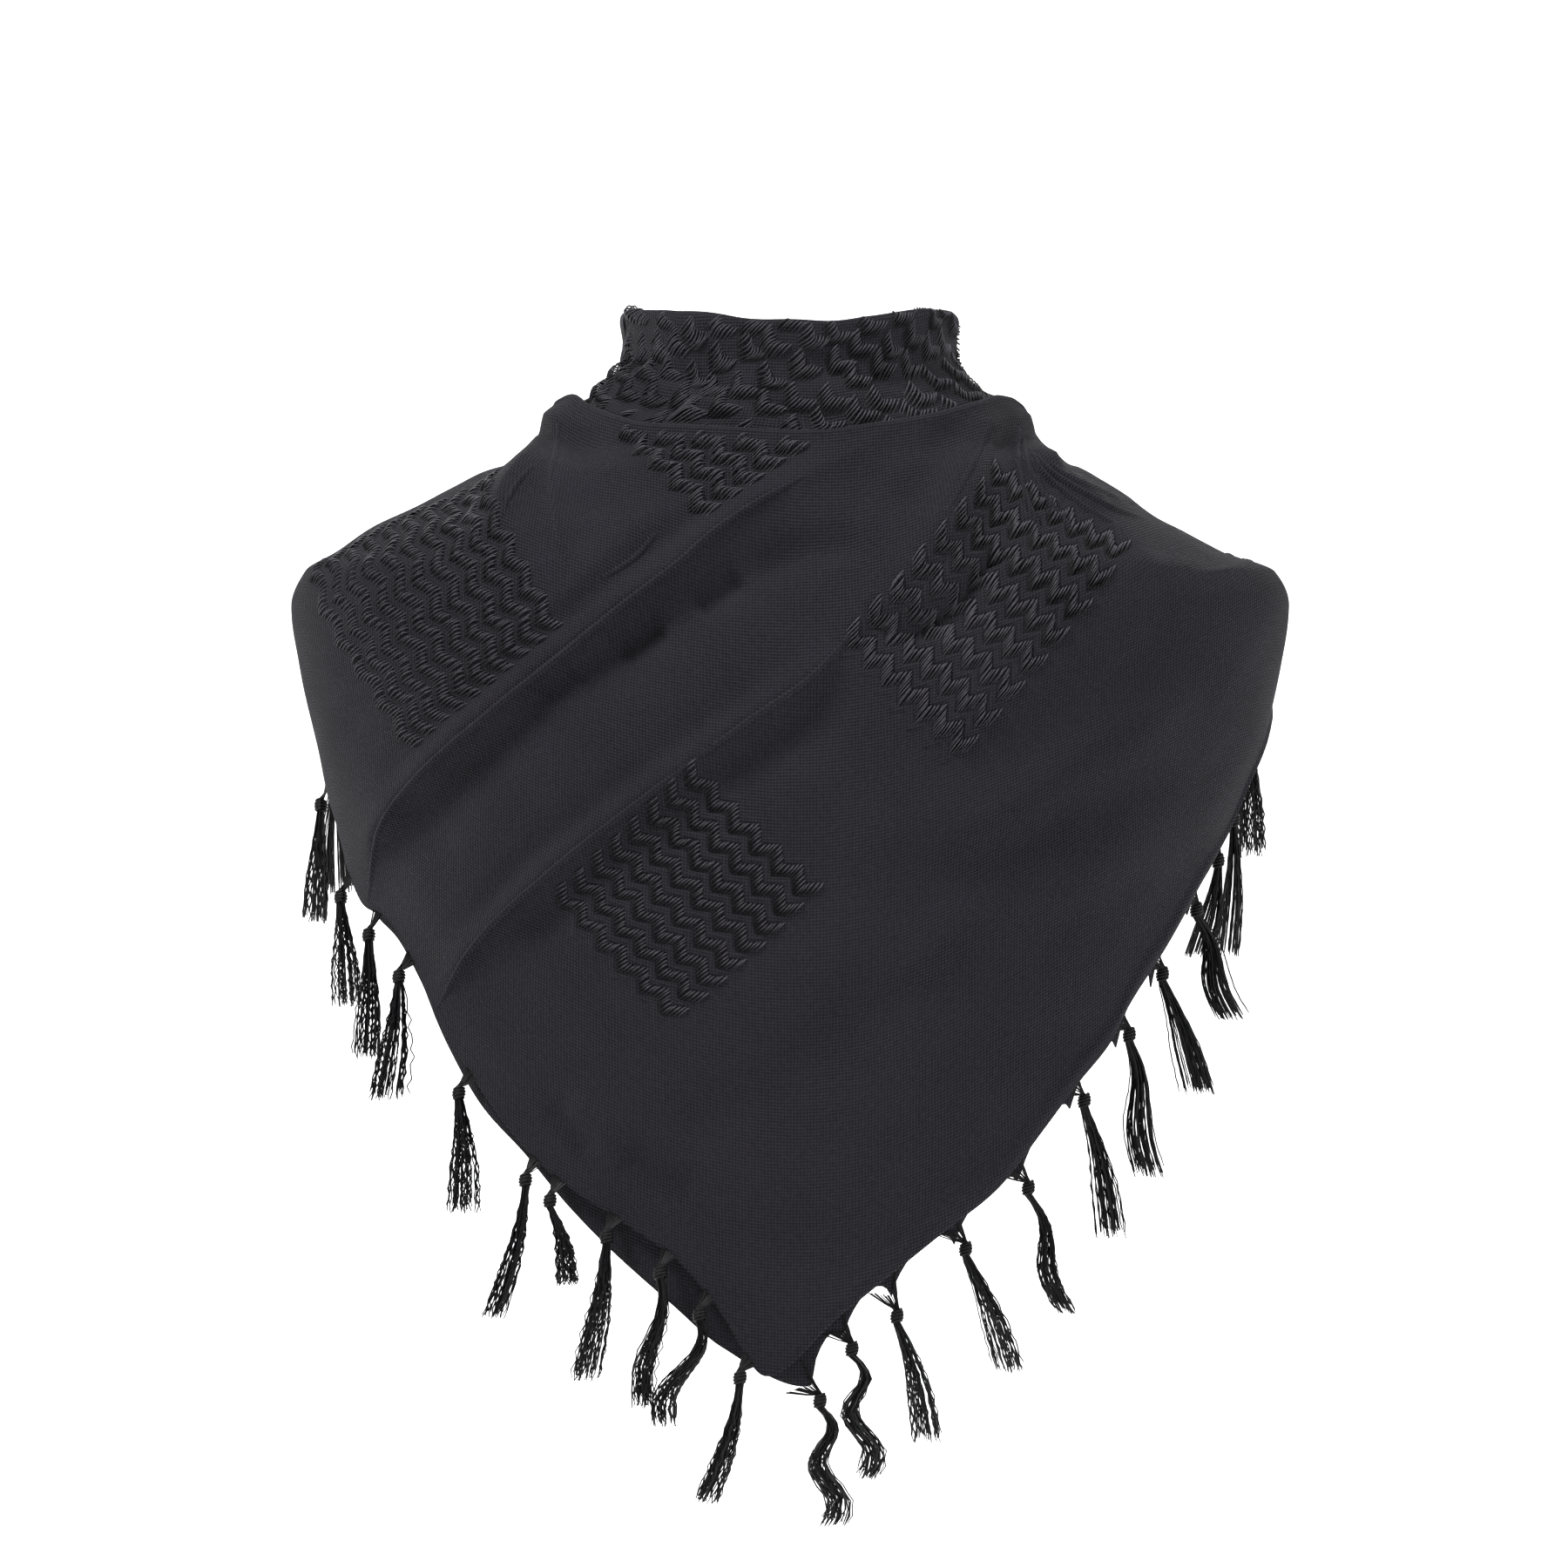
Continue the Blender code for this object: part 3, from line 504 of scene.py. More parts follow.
# the fringe pulls the right hem into a point at each tassel and a shallow arch between two
root_angles = []
for x, *_ in RIGHT_TASSELS:
    half = smooth(SECTIONS[::-1], smooth(UNDER_HEM, x), 2)
    root_angles.append(math.degrees(math.asin(x / half)))
root_angles = np.array(root_angles + list(np.linspace(*RIGHT_BEHIND)))
scalloped = []
for angle in under_angles:
    place = np.interp(angle, root_angles, np.arange(len(root_angles))) % 1.0
    depth = SCALLOP_DEPTH * (1.0 - min(1.0, max(0.0, (angle - 70) / 30)) * 0.5)
    arch = math.sin(math.pi * place) ** SCALLOP_POWER
    scalloped.append((angle, smooth(under_hem, angle) + depth * arch))
base, flat = draped_grid(under_angles, lambda angle: smooth(TOP_EDGE, angle) - UNDER_TOP_DROP,
                         scalloped, UNDER_ROWS)
flat[..., 1] += UNDER_TOP_DROP * MM
lift = crease_heights(base, UNDER_RIDGES, UNDER_TROUGHS) - (WALL + LAYER_GAP)
lift += ripples(flat[..., 0], flat[..., 1], 0.3 * MM, 8)
body = base + grid_normals(base) * lift[..., None]
hem_rows, hem_flat = turned_hem(body, flat)
under_grid = np.concatenate([body, hem_rows], axis=1)
under = grid_object("drape_under_layer", under_grid,
                    thread_places(np.concatenate([flat, hem_flat], axis=1)), cotton)
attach(under, "root")
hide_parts("drape_under")

# The neck band is the top of the cloth, folded on the diagonal of the square. It stands round
# the neck, is slack and a little scrunched, and goes over its rim to an inner layer.
BAND_FOOT_DROPS = (8.5, 3.0)
BAND_FOOT_INWARD = ((0, 4.9), (66, 4.9), (80, 8.4), (100, 8.4), (122, 5.4), (180, 5.2))
BAND_INNER_FOOT = -20.0
BAND_RIM = (
    (-180, 45), (-150, 46), (-120, 51), (-90, 57), (-70, 59), (-40, 56.5), (-16, 53), (7, 51.7),
    (40, 55.5), (67, 59), (90, 54), (120, 50), (150, 46), (180, 45),
)
BAND_COLUMNS, BAND_ROWS = 400, 84
BAND_RIM_STEPS = 8
BAND_LENGTH = 500.0 * MM
BAND_LOOSE = 88.0 * MM
BAND_CREASES_END, BAND_CREASES_FADE = 84.0 * MM, 8.0 * MM
# share of the height, half width, and half depth in front and behind in mm
BAND_OUTSIDE = (
    (0.10, 91.0, 82.6, 82.0), (0.24, 85.5, 80.6, 79.0), (0.38, 80.8, 78.0, 76.5),
    (0.50, 78.8, 75.2, 74.0), (0.64, 78.2, 73.2, 72.0), (0.80, 78.4, 72.2, 70.4),
    (0.94, 79.6, 72.0, 69.6),
)
# height, width and the route as (x, z) in mm from the front
BAND_CREASES = (
    (-2.2, 4.5, ((-80, 35), (-58, 29), (-39, 23), (-22, 15), (-1, 9), (16, 2))),
    (1.4, 5.0, ((-78, 26), (-56, 20), (-38, 13), (-20, 6))),
    (-1.2, 5.0, ((70, 30), (52, 24), (34, 24), (14, 30))),
    (-1.2, 4.5, ((80, 16), (62, 12), (44, 10))),
    (1.0, 5.0, ((60, 48), (66, 30), (76, 12))),
    (0.9, 6.0, ((-50, 50), (-30, 42), (-4, 40), (20, 44))),
)


def smooth_line(stops, wanted):
    """Points at wanted lengths along a smooth line through stops."""
    lengths = lengths_along(stops)
    return np.stack([smooth(np.stack([lengths, stops[:, k]], axis=-1), wanted)
                     for k in range(stops.shape[1])], axis=-1)


band = []
for angle in np.linspace(-180.0, 180.0, BAND_COLUMNS, endpoint=False):
    turn = math.radians(angle)
    side, ahead = math.sin(turn), math.cos(turn)
    rim, edge = smooth(BAND_RIM, angle), smooth(TOP_EDGE, angle)
    out = np.array((side, -ahead))
    inward = smooth(BAND_FOOT_INWARD, abs(angle))
    foot = section(np.array(angle), np.array(edge * MM))[:2] / MM - out * inward
    stops = [(*foot, edge - drop) for drop in BAND_FOOT_DROPS]
    for share, wide, front, back in BAND_OUTSIDE:
        deep = front if ahead > 0 else back
        stops.append((wide * side, -deep * ahead, edge + share * (rim - edge)))
    x, y, z = stops[-1]
    radius = FOLD_RADIUS / MM
    for step in range(1, BAND_RIM_STEPS):
        lean = math.pi * step / BAND_RIM_STEPS
        stops.append((x - out[0] * radius * (1 - math.cos(lean)),
                      y - out[1] * radius * (1 - math.cos(lean)),
                      z + (rim - z) * math.sin(lean)))
    inner_x, inner_y = np.array((x, y)) - out * 2.0 * radius
    stops += [(inner_x, inner_y, z + drop * (BAND_INNER_FOOT - z)) for drop in (0, 0.5, 1)]
    stops = np.array(stops) * MM
    wanted = np.linspace(0.0, lengths_along(stops)[-1], BAND_ROWS)
    band.append(smooth_line(stops, wanted)[::-1])
band = np.array(band)
steps = np.linalg.norm(np.diff(band, axis=1), axis=-1)
down = np.concatenate([np.zeros((BAND_COLUMNS, 1)), np.cumsum(steps, axis=1)], axis=1)
down -= down[:, -1:]
around = np.linspace(-0.5, 0.5, BAND_COLUMNS, endpoint=False)[:, None] * BAND_LENGTH
band_flat = np.stack([around + 0 * down, down], axis=-1)
looped = np.concatenate([band[-1:], band, band[:1]])
outside = np.clip((down + BAND_CREASES_END) / BAND_CREASES_FADE, 0.0, 1.0)
slack = np.zeros(down.shape)
for height, width, route in BAND_CREASES:
    nearest = np.full(down.shape, np.inf)
    stops = np.array(route, dtype=float) * MM
    for start, end in zip(stops, stops[1:]):
        nearest = np.minimum(nearest, beside(band[..., [0, 2]], start, end)[1])
    in_front = np.clip(-band[..., 1] / (10 * MM), 0.0, 1.0)
    slack += height * MM * in_front * np.exp(-(nearest / (width * MM)) ** 2)
# three slow waves of slack run round the band
wave = BAND_LENGTH / np.array((9, 14, 5))
for length, lean, size, phase in zip(wave, (0.8, -0.5, 1.6), (0.5, 0.35, 0.6), (0.4, 2.1, 4.0)):
    slack += size * MM * np.sin(2 * math.pi * (around + lean * down) / length + phase)
free = np.sin(math.pi * np.clip(-down / BAND_LOOSE, 0.0, 1.0))
band_grid = band + grid_normals(looped)[1:-1] * (slack * free * outside)[..., None]
neck = grid_object("neck_band_cloth", band_grid, thread_places(band_flat), cotton, ring=True)
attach(neck, "root")
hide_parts("neck_band")

# The two ends of the square are wound round the nape, the right one over the left, and tucked
# in behind the folds at the sides of the neck. Each is pleated lengthways.
WRAP_PLEATS = 3.0
WRAP_PLEAT_HEIGHT = 1.5 * MM
WRAP_PLEATED_HALF = 14.0
WRAP_TURN_LENGTH = 620.0 * MM
WRAP_COLUMNS, WRAP_ROWS = 150, 56
DIAGONAL = 0.7071
# angle, then height, half width and stand-off in mm
WRAP_UNDERNEATH = (
    (138, -50, 34, 2.1), (155, -32, 29, 2.1), (170, -15, 26, 2.8), (185, 0, 23, 3.0),
    (205, 11, 19, 3.0), (225, 14, 13, 0.5), (240, 14, 11, -3.5), (255, 13, 8, -6.2),
    (272, 13.5, 6, -6.4),
)
WRAP_ON_TOP = (
    (138, -50, 33, 2.1), (148, -42, 31, 4.4), (157, -32, 29, 7.2), (170, -15, 26, 8.4),
    (185, 0, 24, 8.4), (205, 12, 19, 7.6), (225, 15, 14, 2.5), (240, 13, 11, -3.5),
    (255, 11.5, 8, -6.2), (265, 12, 5.5, -6.3),
)


def outline_normal(angle, z):
    """Outward direction of the draped cloth's outline."""
    step = 0.5
    sideways = section(angle + step, z) - section(angle - step, z)
    upward = section(angle, z + step * MM) - section(angle, z - step * MM)
    return unit(np.cross(sideways, upward))


def wound_end(name, table, side, seed):
    """One wound end: a pleated strip from its shoulder over the nape to the other side."""
    turns = np.linspace(table[0][0], table[-1][0], WRAP_COLUMNS)[:, None]
    share = np.linspace(1.0, -1.0, WRAP_ROWS)[None, :]
    middle, half, over = (smooth(table, turns, column) for column in (1, 2, 3))
    z = (middle + share * half) * MM
    angle = side * turns + 0 * share
    points = section(angle, z)
    below = np.maximum(0.0, crease_heights(points))
    fade = np.minimum(1.0, half / WRAP_PLEATED_HALF)
    bend = 0.22 * np.sin(math.radians(1) * turns * 5 + seed)
    pleat = fade * (1.0 + np.cos(math.pi * WRAP_PLEATS * (share + bend)))
    fine = 0.25 * fade * np.sin(math.pi * 9 * share + 3 * bend)
    height = over * MM + below + (0.5 * pleat + fine + 0.25) * WRAP_PLEAT_HEIGHT
    grid = points + outline_normal(angle, z) * height[..., None]
    length = turns / 360 * WRAP_TURN_LENGTH + 0 * share
    places = np.stack([length, share * half * MM], axis=-1)
    turned = grid if side > 0 else grid[::-1]
    places = places if side > 0 else places[::-1]
    rims = grid_normals(turned)
    top, foot = turned[:, 0] - rims[:, 0] * HEM_TURN, turned[:, -1] - rims[:, -1] * HEM_TURN
    whole = np.concatenate([top[:, None], turned, foot[:, None]], axis=1)
    places = np.concatenate([places[:, :1], places, places[:, -1:]], axis=1)
    places = places @ np.array(((DIAGONAL, -DIAGONAL), (DIAGONAL, DIAGONAL)))
    made = grid_object(name + "_cloth", whole, places, cotton)
    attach(made, "root")
    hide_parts(name)
    return made


left_end = wound_end("wrap_left", WRAP_UNDERNEATH, -1, 0.4)
right_end = wound_end("wrap_right", WRAP_ON_TOP, 1, 1.9)

# The traditional pattern is woven in with loose threads that float over the plain ground in
# wavy rows: four blocks on the chest and shoulders, a field round the neck, and four more
# blocks on the back.
FLOAT_PITCH = 1.35 * MM
TOOTH = 13.6 * MM
ROW_STEP = 13.4 * MM
TOOTH_HEIGHT = 3.2 * MM
ARC_POINTS = 7
FLOAT_LEAN = 1.7
# length of a float, and what the loosest blocks add to it, in mm
FLOAT_LENGTH, LOOSE_EXTRA = 9.4, 2.0
FLOAT_THICKNESS = 0.98 * MM
FLOAT_SIDES = 3
FLOAT_ROOT = 0.3 * MM
FLOAT_MISS = 1.0 * MM
LOOSE_FROM = 1.2
# offsets across a puckered strip and its heights there, in mm
RIDGE_OFFSETS = np.array((-3.1, -2.2, -0.9, 0.9, 2.2, 3.1))
RIDGE_HEIGHTS = np.array((-0.4, 0.55, 0.95, 0.95, 0.55, -0.4))
# corners as places along the two thread directions in mm: top, right, bottom and left; then
# the painted light and shade of the floats' lower ends in the low and high rows, and how loose they
# are.
# The loosest have no puckered strips between their rows.
BLOCKS = (
    (((221, 174), (141, 178), (139, 77), (209, 61)), 0.1, 0.0, 0.8),
    (((211, 370), (115, 365), (127, 252), (217, 263)), 0.55, 0.0, 0.9),
    (((378, 175), (298, 163), (288, 38), (382, 30)), 0.35, 0.2, 1.3),
    (((420, 335), (294, 335), (299, 256), (420, 251)), 0.35, 0.25, 1.8),
    (((40, 540), (-50, 534), (-54, 430), (36, 436)), 0.3, 0.2, 1.0),
    (((540, 30), (450, 26), (446, -66), (536, -62)), 0.3, 0.2, 1.0),
    (((-110, 690), (-200, 684), (-204, 590), (-114, 596)), 0.3, 0.2, 1.0),
    (((700, -120), (610, -124), (606, -216), (696, -212)), 0.3, 0.2, 1.0),
)


def yarn_tree():
    """Round yarn along every edge chain of a mesh, as thick as its thickness attribute says."""
    tree = bpy.data.node_groups.new("yarn_along_lines", "GeometryNodeTree")
    for name, kind in (("Geometry", "NodeSocketGeometry"), ("Sides", "NodeSocketInt"),
                       ("Thickness", "NodeSocketFloat"), ("Material", "NodeSocketMaterial")):
        tree.interface.new_socket(name, in_out="INPUT", socket_type=kind)
    tree.interface.new_socket("Geometry", in_out="OUTPUT", socket_type="NodeSocketGeometry")
    n = new_nodes(tree, (
        ("source", "NodeGroupInput"), ("result", "NodeGroupOutput"),
        ("curves", "GeometryNodeMeshToCurve"), ("profile", "GeometryNodeCurvePrimitiveCircle"),
        ("share", "GeometryNodeInputNamedAttribute"), ("radius", "ShaderNodeMath", "MULTIPLY"),
        ("thick", "GeometryNodeSetCurveRadius"), ("tube", "GeometryNodeCurveToMesh"),
        ("soft", "GeometryNodeSetShadeSmooth"), ("real", "GeometryNodeRealizeInstances"),
        ("finish", "GeometryNodeSetMaterial"),
    ))
    n["share"].data_type = "FLOAT"
    links = [
        ("source", "Geometry", "curves", "Mesh"), ("source", "Sides", "profile", "Resolution"),
        ("share", "Attribute", "radius", 0), ("source", "Thickness", "radius", 1),
        ("curves", "Curve", "thick", "Curve"), ("radius", 0, "thick", "Radius"),
        ("thick", "Curve", "tube", "Curve"), ("profile", "Curve", "tube", "Profile Curve"),
        ("tube", "Mesh", "soft", "Geometry"), ("soft", "Geometry", "real", "Geometry"),
        ("real", "Geometry", "finish", "Geometry"), ("source", "Material", "finish", "Material"),
        ("finish", "Geometry", "result", "Geometry"),
    ]
    if "Scale" in n["tube"].inputs:
        links.append(("radius", 0, "tube", "Scale"))
    set_and_join(tree, n, (("share", "Name", "thickness"), ("profile", "Radius", 0.5)), links)
    return tree


YARN = yarn_tree()


def yarn_object(name, lines, shares, lights, thickness, sides, finish):
    """One mesh of round yarns along lines of points, through the yarn tree."""
    count = lines.shape[1]
    starts = np.arange(lines.shape[0])[:, None] * count + np.arange(count - 1)[None, :]
    edges = np.stack([starts, starts + 1], axis=-1).reshape(-1, 2)
    guide = bpy.data.meshes.new(name + "_lines")
    guide.from_pydata(lines.reshape(-1, 3).tolist(), edges.tolist(), [])
    for kind, values in (("thickness", shares), ("light", lights)):
        layer = guide.attributes.new(kind, "FLOAT", "POINT")
        layer.data.foreach_set("value", values.reshape(-1).astype(np.float32))
    holder = placed(name + "_holder", guide)
    modifier = holder.modifiers.new("yarn", "NODES")
    modifier.node_group = YARN
    sockets = {item.name: item.identifier for item in YARN.interface.items_tree
               if item.in_out == "INPUT"}
    modifier[sockets["Sides"]] = sides
    modifier[sockets["Thickness"]] = thickness
    modifier[sockets["Material"]] = finish
    bpy.context.view_layer.update()
    evaluated = holder.evaluated_get(bpy.context.evaluated_depsgraph_get())
    mesh = bpy.data.meshes.new_from_object(evaluated)
    mesh.name = name
    bpy.data.objects.remove(holder, do_unlink=True)
    bpy.data.meshes.remove(guide)
    return placed(name, mesh)


def float_shares(lines):
    """Thickness along each float: thinner where it dives into the ground."""
    share = np.ones(lines.shape[:2])
    share[:, (0, -1)] = 0.6
    return share


def strips_object(name, strips, places, finish):
    """One mesh of narrow strips, each a grid of points with its thread places."""
    vertices, quads, flat = [], [], []
    for grid, place in zip(strips, places):
        first, (count, wide) = len(vertices), grid.shape[:2]
        vertices += grid.reshape(-1, 3).tolist()
        flat += place.reshape(-1, 2).tolist()
        quads += [(first + i * wide + k, first + (i + 1) * wide + k,
                   first + (i + 1) * wide + k + 1, first + i * wide + k + 1)
                  for i in range(count - 1) for k in range(wide - 1)]
    at_corners = np.array(flat)[np.array(quads).reshape(-1)]
    return cloth_object(name, vertices, quads, at_corners, finish)


def yarn_material(name, dark, light, roughness):
    """Twisted cotton yarn: fine streaks and a faint gloss, with its colour scaled by the light
    attribute of its points, which paints light and shade along the floats.
    """
    made, n = new_material(name, (
        ("place", "ShaderNodeTexCoord"), ("noise", "ShaderNodeTexNoise"),
        ("tops", "ShaderNodeMapRange"), ("light", "ShaderNodeAttribute"),
        ("shade", "ShaderNodeMath", "MULTIPLY"), ("colour", "ShaderNodeMix"),
        ("bump", "ShaderNodeBump"),
    ))
    # the light attribute darkens the streaked colour where it is low, as painted shade, and leaves
    # it light where it is high, as a painted highlight
    n["light"].attribute_name = "light"
    set_and_join(made.node_tree, n, (
        ("noise", "Scale", 900.0), ("noise", "Detail", 3.0), ("tops", "From Max", 0.7),
        ("colour", "A", (*dark, 1.0)), ("colour", "B", (*light, 1.0)),
        ("bump", "Strength", 0.4), ("bump", "Distance", 0.2 * MM),
        ("shader", "Roughness", roughness), ("shader", "Specular IOR Level", 0.14),
    ), (
        ("place", "Object", "noise", "Vector"), ("noise", "Fac", "tops", "Value"),
        ("tops", "Result", "shade", 0), ("light", "Fac", "shade", 1),
        ("shade", 0, "colour", "Factor"), ("colour", "Result", "shader", "Base Color"),
        ("noise", "Fac", "bump", "Height"), ("bump", "Normal", "shader", "Normal"),
    ))
    return made


float_yarn = yarn_material("float_yarn", (0.0005, 0.0005, 0.0007), (0.068, 0.065, 0.077), 0.5)


class FlatMap:
    """Finds the point of a grid from its key, such as its place on the flat cloth. The extra
    values of the grid at the points last found are left in found."""

    def __init__(self, grid, places, extra=None):
        columns, rows = grid.shape[:2]
        i, k = np.meshgrid(np.arange(columns - 1), np.arange(rows - 1), indexing="ij")
        corner = (i * rows + k).reshape(-1)
        one = np.stack([corner, corner + 1, corner + rows + 1], axis=-1)
        two = np.stack([corner, corner + rows + 1, corner + rows], axis=-1)
        self.faces = np.concatenate([one, two])
        self.flat = places.reshape(-1, 2)
        self.points = grid.reshape(-1, 3)
        self.normals = grid_normals(grid).reshape(-1, 3)
        self.extra = self.flat if extra is None else extra.reshape(-1, 2)
        level = np.concatenate([self.flat, np.zeros((columns * rows, 1))], axis=1)
        self.tree = BVHTree.FromPolygons(level.tolist(), self.faces.tolist())

    def find(self, places):
        """3-D points and normals for an array of places, and how far off the cloth each is."""
        hits = [self.tree.find_nearest(Vector((a, b, 0.0))) for a, b in places]
        spots = np.array([hit[0][:2] for hit in hits])
        corners = self.faces[[hit[2] for hit in hits]]
        # s and t are the shares of the second and third corner of the nearest face
        p, q, r = (self.flat[corners[:, k]] for k in range(3))
        one, two, rest = q - p, r - p, spots - p
        size = one[:, 0] * two[:, 1] - one[:, 1] * two[:, 0]
        s = ((rest[:, 0] * two[:, 1] - rest[:, 1] * two[:, 0]) / size)[:, None]
        t = ((one[:, 0] * rest[:, 1] - one[:, 1] * rest[:, 0]) / size)[:, None]
        points, normals, self.found = (
            (1 - s - t) * kind[corners[:, 0]] + s * kind[corners[:, 1]] + t * kind[corners[:, 2]]
            for kind in (self.points, self.normals, self.extra))
        return points, unit(normals), np.array([hit[3] for hit in hits])


def float_lines(cloth, centres, reach, lifts, sway, painted_lower_light):
    """Arcs of loose thread along the second thread direction, and the painted light of each point.
    """
    half = np.array((0.0, 0.5)) * reach[:, None]
    starts, _, miss_start = cloth.find(centres - half)
    middles, out, miss_middle = cloth.find(centres)
    stops, _, miss_stop = cloth.find(centres + half)
    across = np.cross(stops - starts, out)
    across /= np.maximum(np.linalg.norm(across, axis=-1, keepdims=True), 1e-9)
    t = np.linspace(0.0, 1.0, ARC_POINTS)[None, :, None]
    control = 2 * middles - (starts + stops) / 2
    line = ((1 - t) ** 2 * starts[:, None] + t ** 2 * stops[:, None]
            + 2 * t * (1 - t) * control[:, None])
    # each float leaves the ground slowly and plunges back near its upper end
    bow = np.sin(math.pi * t ** FLOAT_LEAN) ** 0.8
    line = line + out[:, None] * (lifts[:, None, None] * bow - FLOAT_ROOT * (1 - bow))
    line = line + across[:, None] * sway[:, None, None] * bow
    # painted light along each float: its lower part is painted dark as shade, down to its
    # painted_lower_light value, and its upper end fully light as a painted highlight
    rise = np.clip((t[..., 0] - 0.30) / 0.45, 0.0, 1.0)
    light = painted_lower_light[:, None] + (1 - painted_lower_light[:, None]) * rise ** 2 * (3 - 2 * rise)
    # a float that would reach past the edge of the cloth is left out
    keep = np.maximum.reduce([miss_start, miss_middle, miss_stop]) < FLOAT_MISS
    return line[keep], light[keep]


def block_place(corners, u, v):
    """Place on the flat cloth at the shares u and v of a four-cornered block."""
    top, right, bottom, left = (np.array(corner, dtype=float) * MM for corner in corners)
    u, v = np.asarray(u)[..., None], np.asarray(v)[..., None]
    return (1 - v) * ((1 - u) * left + u * bottom) + v * ((1 - u) * top + u * right)


def block_counts(corners):
    """Threads, rows and teeth of a block, and its length across the rows."""
    top, right, bottom, left = (np.array(corner, dtype=float) * MM for corner in corners)
    span_u = (np.linalg.norm(right - top) + np.linalg.norm(bottom - left)) / 2
    span_v = (np.linalg.norm(top - left) + np.linalg.norm(right - bottom)) / 2
    return (round(span_u / FLOAT_PITCH), max(1, round(span_v / ROW_STEP)),
            max(1, round(span_u / TOOTH)), span_v)


def tooth_wave(phase):
    """Triangle wave from -1 to 1 of the stepped rows."""
    return np.abs(2 * (np.asarray(phase) % 1.0) - 1.0) * 2.0 - 1.0


def block_floats(corners, painted_light_low_rows, painted_light_high_rows, loose, rng):
    """Centres, lengths, lifts, sway and the painted light of the lower ends of the floats in one
    four-cornered block.
    """
    threads, rows, teeth, span_v = block_counts(corners)
    centres, reach, lifts, sway, painted_lower_light = [], [], [], [], []
    for row in range(rows):
        for thread in range(threads):
            u = (thread + 0.5) / threads
            v = (row + 0.5) / rows
            crown = math.sin(math.pi * ((u * teeth) % 1.0))
            # the lower ends are painted from the low rows' light to the high rows', and darker at
            # the crowns of the teeth: painted shade that makes the dark scallops
            light = painted_light_low_rows + (painted_light_high_rows - painted_light_low_rows) * min(1.0, max(0.0, 3 * v - 1.2))
            painted_lower_light.append(min(1.0, light + 0.25 * (1 - crown) + rng.uniform(-0.08, 0.08)))
            v += tooth_wave(u * teeth) * TOOTH_HEIGHT / span_v
            u += rng.uniform(-0.2, 0.2) / threads
            centres.append(block_place(corners, u, v))
            length = FLOAT_LENGTH + LOOSE_EXTRA * (loose > LOOSE_FROM) + rng.uniform(-0.6, 0.9)
            reach.append(length * MM)
            lifts.append((0.4 + loose * (0.8 * crown + rng.uniform(0.0, 0.5))) * MM)
            sway.append(rng.uniform(-0.5, 0.5) * loose * MM)
    return tuple(np.array(values) for values in (centres, reach, lifts, sway, painted_lower_light))


def block_ridges(corners):
    """Points of the stepped strips of plain weave that pucker up between the float rows."""
    threads, rows, teeth, span_v = block_counts(corners)
    u = np.linspace(0.0, 1.0, threads + 1)[None, :, None]
    wave = tooth_wave(u * teeth) * TOOTH_HEIGHT
    line = np.arange(rows + 1)[:, None, None] / rows
    v = line + (wave + RIDGE_OFFSETS * MM) / span_v
    places = block_place(corners, u + 0 * v, v)
    points, normals, _ = chest.find(places.reshape(-1, 2))
    fade = np.clip(np.minimum(u, 1 - u) * 16, 0.0, 1.0) * np.where(line * rows % rows, 1.0, 0.6)
    heights = (-0.4 + fade * (RIDGE_HEIGHTS + 0.4)) * MM
    points = points.reshape(*places.shape[:3], 3)
    return points + normals.reshape(points.shape) * heights[..., None], places


# height, half width and the route of each thin crest, as x and z in mm seen from the front
CRESTS = (
    (2.7, 1.9, ((-197, -218), (-192, -188), (-177, -165), (-139, -131), (-104, -103), (-78, -82),
                (-52, -62), (-36, -48), (-19, -36), (6, -22))),
    (2.4, 1.9, ((-163, -267), (-148, -241), (-109, -203), (-76, -177), (-44, -153))),
    (1.6, 1.8, ((-44, -153), (-18, -134), (9, -115), (34, -88))),
    (1.2, 2.2, ((-108, 8), (-109, -8), (-111, -24), (-108, -44), (-102, -66))),
    (1.0, 2.4, ((-118, -14), (-128, -26), (-136, -44))),
    (1.9, 2.2, ((107, 4), (106, -12), (108, -26), (114, -44), (120, -54))),
    (1.8, 2.1, ((109, -2), (110, -14), (117, -29), (127, -42), (134, -50))),
    (1.9, 2.1, ((111, -6), (116, -17), (128, -29), (141, -38), (152, -43))),
    (1.6, 2.1, ((113, -9), (122, -19), (136, -28), (152, -36), (166, -40))),
    (0.9, 2.0, ((117, -12), (131, -21), (148, -28), (166, -34))),
    (0.8, 2.2, ((94, 10), (88, -8), (79, -26), (70, -42))),
    (0.8, 2.2, ((-60, -46), (-72, -60), (-88, -70))),
)
CREST_STEP = 1.6 * MM
CREST_SIDE = -0.35
CREST_PROFILE = ((-1.0, CREST_SIDE), (-0.62, 0.22), (-0.3, 0.72), (0.0, 1.0), (0.3, 0.72),
                 (0.62, 0.22), (1.0, CREST_SIDE))


